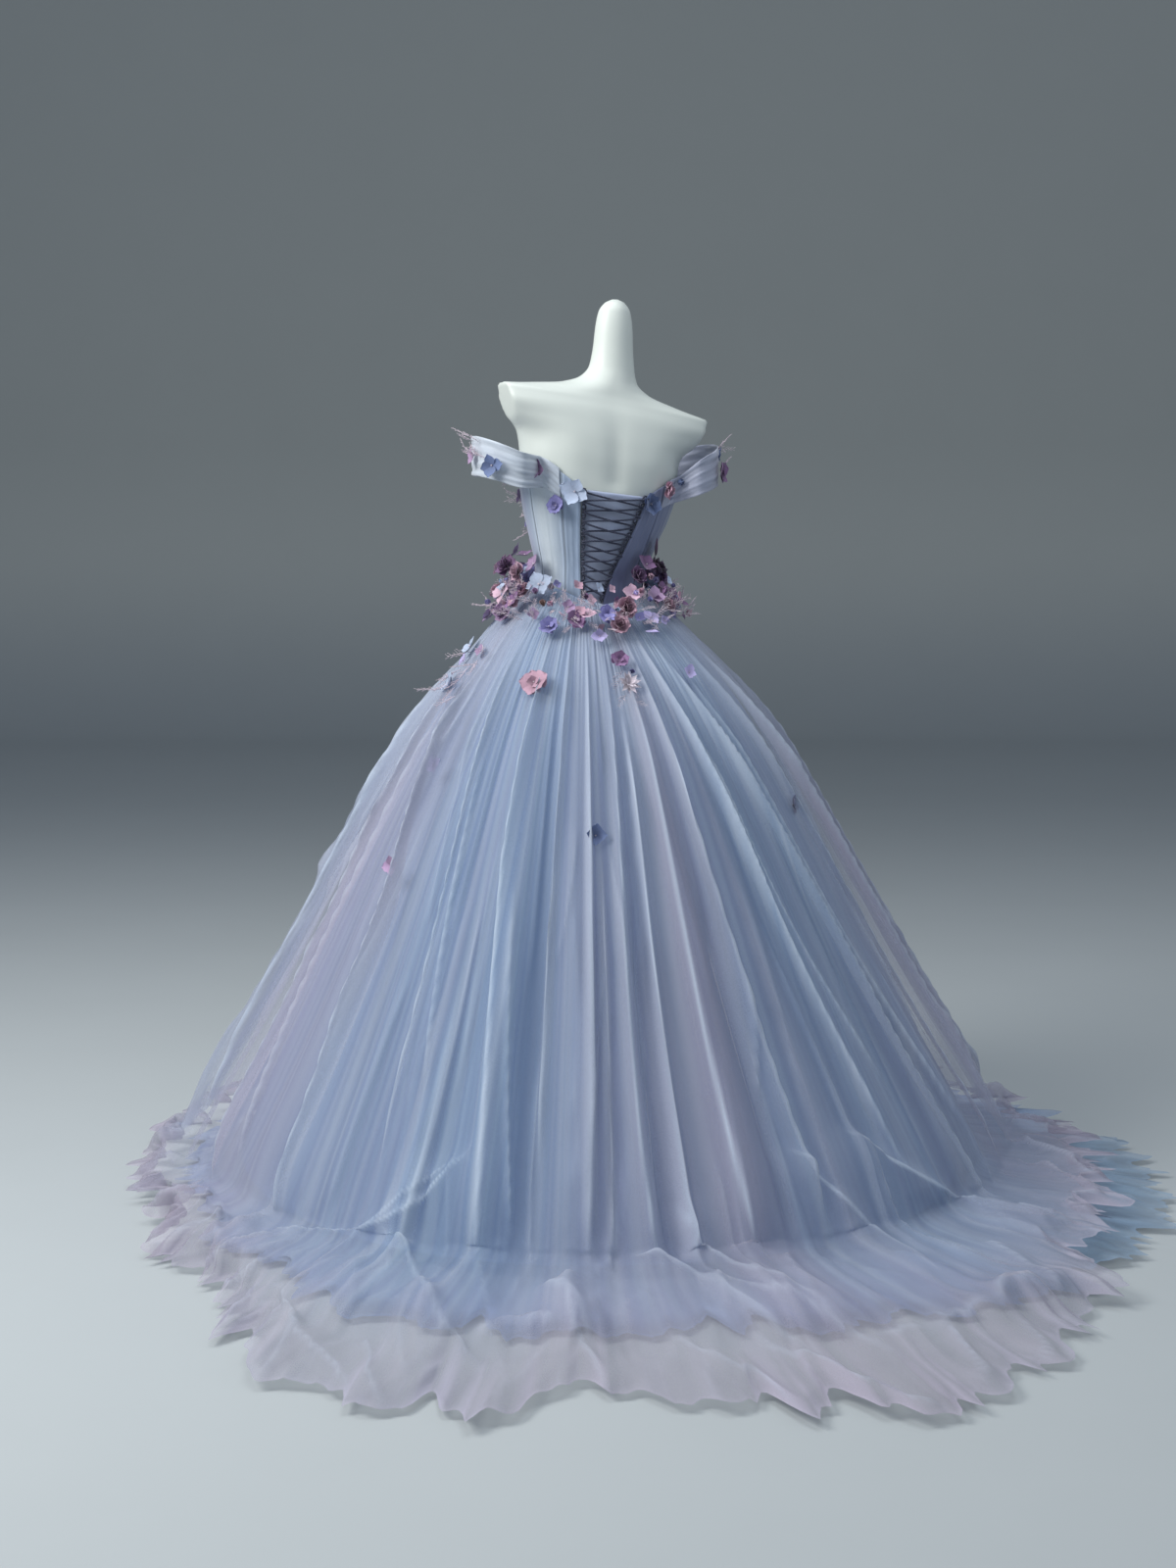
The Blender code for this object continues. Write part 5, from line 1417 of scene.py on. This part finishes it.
def make_garland(seed, cloth):
    """The garland, a spray over each outer gore: its placed flowers, small ones between them, larger
    ones where no flower is listed, and sprigs."""
    facts = LAYERS["outer"]
    start, span = facts["start"], 360.0 / len(WAIST_SPRAYS)
    for k, spray in enumerate(WAIST_SPRAYS):
        first = start + k * span
        bunch = Bouquet(seed + k, cloth)
        draw = bunch.draw
        for angle, length, lift, rise, kind, radius, colour in GARLAND:
            if first <= np.mod(angle - start, 360.0) + start < first + span:
                seat, out = on_skirt(angle, length, lift, rise)
                bunch.flower(kind, seat, unit(out + draw.normal(0.0, 0.22, 3)), radius, colour)
        for angle in np.arange(first + 1.0, first + span, 2.2):
            if 24.0 < angle < 104.0 and draw.random() < 0.45:
                continue
            if 178.0 < angle < 326.0:
                turn, length = angle + draw.normal(0, 1.5), draw.uniform(0.0, 0.045)
                seat, out = on_skirt(turn, length, draw.uniform(0.010, 0.026), draw.uniform(0.0, 0.026))
                kind, out = draw.choice(SPRAY_KINDS), unit(out + draw.normal(0, 0.25, 3))
                bunch.flower(kind, seat, out, draw.uniform(0.018, 0.025), draw.choice(SPRAY_COLOURS))
            length, lift = draw.uniform(0.0, 0.05), draw.uniform(0.006, 0.022)
            seat, out = on_skirt(angle, length, lift, draw.uniform(-0.004, 0.034))
            kind, out = draw.choice(("bud", "hydrangea")), unit(out + draw.normal(0, 0.4, 3))
            bunch.flower(kind, seat, out, draw.uniform(0.009, 0.014), draw.choice(SPRAY_COLOURS))
        for angle in np.arange(first + 1.0, first + span, 2.0):
            seat, out = on_skirt(angle, draw.uniform(0.01, 0.05), 0.008, draw.uniform(0.0, 0.012))
            spread = 0.75 if 30.0 < angle < 110.0 else 1.0
            ahead = out * 0.9 + draw.normal(0.0, 0.7, 3)
            bunch.sprig(seat, ahead, out, draw.uniform(0.022, 0.040) * spread)
        bunch.make(f"garland_{spray}", f"spray_waist_{spray}")


def make_trails(seed, cloth):
    """The trails that hang from the garland, over the left hip and in the tail, and the one on the
    bodice."""
    hip = Bouquet(seed + 10, cloth)
    for angle, length, radius, colour in HIP_FLOWERS:
        seat, out = on_skirt(angle, length, 0.008)
        hip.flower("hydrangea", seat, out, radius, colour)
    for k in range(13):
        seat, out = on_skirt(-6.0 + 22.0 * hip.draw.random(), 0.082 + 0.066 * k / 12.0, 0.004)
        ahead = 0.6 * out + hip.draw.normal(0, 0.4, 3) + np.array([0.0, 0.0, -0.6])
        hip.sprig(seat, ahead, out, hip.draw.uniform(0.03, 0.05))
    hip.make("hip_trail", "spray_hip_left")

    tail = Bouquet(seed + 11, cloth)
    for angle, length, lift, kind, radius, colour in TAIL_FLOWERS:
        seat, out = on_skirt(angle, length, lift)
        tail.flower(kind, seat, out, radius, colour)
    for k in range(7):
        seat, out = on_skirt(85.0 + 6.0 * tail.draw.random(), 0.09 + 0.045 * k / 6.0, 0.003)
        ahead = np.array([tail.draw.normal(0, 0.5), 0.1, -0.8])
        tail.sprig(seat, ahead, out, tail.draw.uniform(0.022, 0.036))
    tail.make("tail_trail", "spray_tail")

    side = Bouquet(seed + 12, cloth)
    for k in range(12):
        seat, out = on_bodice(114.0 + 30.0 * side.draw.random(), 0.16 + 0.40 * k / 11.0, 0.002)
        side.sprig(seat, 0.7 * out + side.draw.normal(0, 0.5, 3), out, side.draw.uniform(0.026, 0.044))
    for from_back, down, colour in ((126.0, 0.28, "mauve"), (138.0, 0.46, "lilac")):
        seat, out = on_bodice(from_back, down, 0.006)
        side.flower("hydrangea", seat, out, 0.018, colour)
    side.make("bodice_trail", "spray_bodice_front_left")


def make_strap_posies(seed, cloth):
    """Two flowers and a few sprigs on each strap, seated on a coarse grid of the strap's own face."""
    for way, name, sprigs in ((1.0, "left", 9), (-1.0, "right", 5)):
        band = Bouquet(seed + 13 + int(way), cloth)
        grid = strap_point(way, np.linspace(0.0, 1.0, 9), np.linspace(0.0, 1.0, 61))
        normal = way * unit(np.cross(-np.gradient(grid, axis=0), np.gradient(grid, axis=1)))
        for share, down, kind, radius, colour in STRAP_FLOWERS[name]:
            i, j = round(down * 8), round(share * 60)
            band.flower(kind, grid[i, j] + normal[i, j] * 0.005, normal[i, j], radius, colour)
        for _ in range(sprigs):
            j = round((0.40 + 0.22 * band.draw.random()) * 60)
            i = int(band.draw.integers(0, 6))
            ahead = 0.6 * normal[i, j] + np.array([0.0, 0.0, 0.7]) + band.draw.normal(0, 0.4, 3)
            seat = grid[i, j] + normal[i, j] * 0.002
            band.sprig(seat, ahead, normal[i, j], band.draw.uniform(0.020, 0.032))
        band.make(f"strap_posy_{name}", f"spray_strap_{name}")


def make_blossoms(first_seed, cloth, table, seat_on, lift, old, new):
    """Single blossoms of a table, one piece each, named after the CAD nodes they stand for with old made
    new."""
    for k, (node, (turn, down, kind, radius, colour)) in enumerate(table.items()):
        one = Bouquet(first_seed + k, cloth)
        seat, out = seat_on(turn, down, lift)
        one.flower(kind, seat, out, radius, colour)
        one.make(node.replace(old, new), node)


def make_flowers(settings):
    """The garland round the waist, the trails, and the blossoms on the straps, the skirt and the bodice."""
    seed, cloth = settings.flower_seed, petal_material()
    make_garland(seed, cloth)
    make_trails(seed, cloth)
    make_strap_posies(seed, cloth)
    make_blossoms(seed + 20, cloth, SKIRT_BLOSSOMS, on_skirt, 0.009, "blossom_skirt", "flower_on_skirt")
    make_blossoms(seed + 30, cloth, NECK_BLOSSOMS, on_bodice, 0.007, "blossom_neck", "flower_at_neck")


# -------------------- the stage
CAMERA_PLACE = (1.481, 4.069, 1.30)
CAMERA_HEADING = 160.0
CAMERA_PITCH = 7.8
CAMERA_LENS = 54.09
FLOOR_REACH = 9.0
BACKDROP_AWAY = 6.6  # from the gown to where the floor turns up into the backdrop
BACKDROP_CURVE = 1.4
BACKDROP_HEIGHT = 6.0
# The floor's colour away from the gown, darker as painted shade outside a painted pool of light.
FLOOR_FAR_SHADE = shade(150, 158, 162)
FLOOR_PALE = shade(180, 187, 189)
WALL_GREY = shade(176, 182, 180)


def make_backdrop():
    """One paper sweep: a floor that turns up in a quarter circle into a wall, behind the gown as the camera
    sees it."""
    heading = math.radians(CAMERA_HEADING)
    ahead = np.array([-math.sin(heading), math.cos(heading), 0.0])
    across = np.array([math.cos(heading), math.sin(heading), 0.0])
    bend = np.linspace(0.0, 0.5 * np.pi, 24)
    floor = np.linspace(0.0, BACKDROP_AWAY - 0.1, 20)
    turning = BACKDROP_AWAY + BACKDROP_CURVE * np.sin(bend)
    away = np.concatenate([[-FLOOR_REACH], floor, turning, [BACKDROP_AWAY + BACKDROP_CURVE]])
    height = np.concatenate([np.zeros(21), BACKDROP_CURVE * (1.0 - np.cos(bend)), [BACKDROP_HEIGHT]])
    sides = np.linspace(FLOOR_REACH, -FLOOR_REACH, 3)
    points = away[:, None, None] * ahead + sides[None, :, None] * across
    points = points + height[:, None, None] * np.array([0.0, 0.0, 1.0])
    made, nodes, links, surface = material_of("studio_paper", 0.85)
    noise = noise_bump(nodes, links, surface, 3.0, 0.04, 0.004)
    speckled_colour(nodes, links, surface, "tint", noise, 0.02)
    # Painted light: the floor is painted paler round the gown and darker towards the backdrop, a painted pool
    # of light.
    tint = mix(FLOOR_PALE, FLOOR_FAR_SHADE, soft_step((away - 0.6) / 4.5))
    tint = mix(tint, WALL_GREY, soft_step((height - 0.02) / 0.9))
    tint = np.repeat(tint[:, None], 3, axis=1)
    piece = new_piece("studio_sweep", points, grid_quads(*points.shape[:2]), made, colours={"tint": tint})


def area_light(name, place, aim, size, power, colour):
    """A soft square light at place, facing aim."""
    light = bpy.data.lights.new(name, "AREA")
    light.shape, light.size, light.energy, light.color = "SQUARE", size, power, colour
    lamp = bpy.data.objects.new(name, light)
    lamp.location = place
    lamp.rotation_euler = (Vector(aim) - Vector(place)).to_track_quat("-Z", "Y").to_euler()
    bpy.context.scene.collection.objects.link(lamp)


def make_lights(settings):
    """A large soft key high on the camera's left, a weak fill on its right, a soft overhead, and a low
    grey world."""
    area_light("key_light", (2.95, 0.55, 3.0), (0.0, 0.1, 0.75), 1.7, settings.key_power, (1.0, 0.985, 0.96))
    area_light("fill_light", (-2.6, 2.9, 1.9), (0.0, 0.2, 0.6), 2.2, settings.fill_power, (0.86, 0.93, 1.0))
    area_light("top_light", (0.2, 0.6, 4.3), (0.0, 0.3, 0.0), 2.6, settings.top_power, (0.95, 0.98, 1.0))
    world = bpy.data.worlds.new("studio_air")
    world.use_nodes = True
    air = world.node_tree.nodes["Background"]
    air.inputs["Color"].default_value = (0.78, 0.86, 1.0, 1.0)
    air.inputs["Strength"].default_value = settings.world_strength
    bpy.context.scene.world = world


def make_camera():
    """A camera a little to the gown's left back, looking slightly down."""
    lens = bpy.data.cameras.new("gown_camera")
    lens.lens, lens.sensor_width = CAMERA_LENS, 36.0
    lens.dof.use_dof = False
    camera = bpy.data.objects.new("gown_camera", lens)
    camera.location = CAMERA_PLACE
    camera.rotation_euler = (math.radians(90.0 - CAMERA_PITCH), 0.0, math.radians(CAMERA_HEADING))
    scene = bpy.context.scene
    scene.collection.objects.link(camera)
    scene.camera = camera
    scene.view_settings.view_transform = "Standard"
    scene.cycles.transparent_max_bounces = 32


# -------------------- the add-on
class GownSettings(bpy.types.PropertyGroup):
    """What the gown's cloth can be asked for."""

    crease_depth: bpy.props.FloatProperty(
        name="Crease depth", description="How far the creases stand out, as a share",
        default=1.0, min=0.0, max=1.5, subtype="FACTOR",
    )
    outer_cover: bpy.props.FloatProperty(
        name="Outer cover", description="Share of light that a flat piece of the outer net stops",
        default=0.30, min=0.05, max=1.0, subtype="FACTOR",
    )
    middle_cover: bpy.props.FloatProperty(
        name="Middle cover", description="Share of light that a flat piece of the middle net stops",
        default=0.66, min=0.05, max=1.0, subtype="FACTOR",
    )
    flower_seed: bpy.props.IntProperty(
        name="Flower seed", description="Starts the random placing of petals and sprigs", default=7, min=0,
    )


class StudioSettings(bpy.types.PropertyGroup):
    """How strong the studio's lights are."""

    key_power: bpy.props.FloatProperty(
        name="Key", description="Power of the key light", default=120.0, min=0.0, unit="POWER"
    )
    fill_power: bpy.props.FloatProperty(
        name="Fill", description="Power of the fill light", default=12.0, min=0.0, unit="POWER"
    )
    top_power: bpy.props.FloatProperty(
        name="Overhead", description="Power of the overhead light", default=55.0, min=0.0, unit="POWER"
    )
    world_strength: bpy.props.FloatProperty(
        name="Air", description="Strength of the light from all round", default=0.33, min=0.0
    )


class GOWN_OT_form(bpy.types.Operator):
    """Make the dress form, and finish its stand in steel"""

    bl_idname = "gown.form"
    bl_label = "Form and stand"

    def execute(self, context):
        make_form()
        steel = steel_material()
        for node in ("stand_base", "stand_pole"):
            mesh = bpy.data.objects[node].data
            mesh.materials.clear()
            mesh.materials.append(steel)
        return {"FINISHED"}


class GOWN_OT_bodice(bpy.types.Operator):
    """Make the boned bodice and the panel behind its lacing"""

    bl_idname = "gown.bodice"
    bl_label = "Bodice"

    def execute(self, context):
        make_bodice()
        return {"FINISHED"}


class GOWN_OT_lacing(bpy.types.Operator):
    """Make the rouleau loops and the laces"""

    bl_idname = "gown.lacing"
    bl_label = "Lacing"

    def execute(self, context):
        make_lacing()
        return {"FINISHED"}


class GOWN_OT_straps(bpy.types.Operator):
    """Make the off-the-shoulder straps"""

    bl_idname = "gown.straps"
    bl_label = "Straps"

    def execute(self, context):
        make_straps()
        return {"FINISHED"}


class GOWN_OT_skirt(bpy.types.Operator):
    """Make the skirt's three layers, gore by gore"""

    bl_idname = "gown.skirt"
    bl_label = "Skirt"

    def execute(self, context):
        for layer in LAYERS:
            make_skirt(layer, context.scene.gown)
        return {"FINISHED"}


class GOWN_OT_flowers(bpy.types.Operator):
    """Make the cloth flowers, leaves and feathery sprigs"""

    bl_idname = "gown.flowers"
    bl_label = "Flowers"

    def execute(self, context):
        make_flowers(context.scene.gown)
        return {"FINISHED"}


class GOWN_OT_stage(bpy.types.Operator):
    """Set up the paper sweep, the lights and the camera"""

    bl_idname = "gown.stage"
    bl_label = "Studio"

    def execute(self, context):
        make_backdrop()
        make_lights(context.scene.gown_studio)
        make_camera()
        return {"FINISHED"}


STEPS = (
    GOWN_OT_form,
    GOWN_OT_bodice,
    GOWN_OT_lacing,
    GOWN_OT_straps,
    GOWN_OT_skirt,
    GOWN_OT_flowers,
    GOWN_OT_stage,
)


class GOWN_PT_sidebar(bpy.types.Panel):
    """The gown's settings and steps"""

    bl_idname = "GOWN_PT_sidebar"
    bl_label = "Gown"
    bl_space_type = "VIEW_3D"
    bl_region_type = "UI"
    bl_category = "Gown"

    def draw(self, context):
        for settings in (context.scene.gown, context.scene.gown_studio):
            for name in settings.__annotations__:
                self.layout.prop(settings, name)
        for step in STEPS:
            self.layout.operator(step.bl_idname)


CLASSES = (GownSettings, StudioSettings, *STEPS, GOWN_PT_sidebar)


def register():
    for made in CLASSES:
        bpy.utils.register_class(made)
    bpy.types.Scene.gown = bpy.props.PointerProperty(type=GownSettings)
    bpy.types.Scene.gown_studio = bpy.props.PointerProperty(type=StudioSettings)


def unregister():
    del bpy.types.Scene.gown_studio
    del bpy.types.Scene.gown
    for made in reversed(CLASSES):
        bpy.utils.unregister_class(made)


def main():
    """Makes every piece in turn."""
    register()
    bpy.ops.gown.form()
    bpy.ops.gown.bodice()
    bpy.ops.gown.lacing()
    bpy.ops.gown.straps()
    bpy.ops.gown.skirt()
    bpy.ops.gown.flowers()
    bpy.ops.gown.stage()
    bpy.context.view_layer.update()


if __name__ == "__main__":
    main()
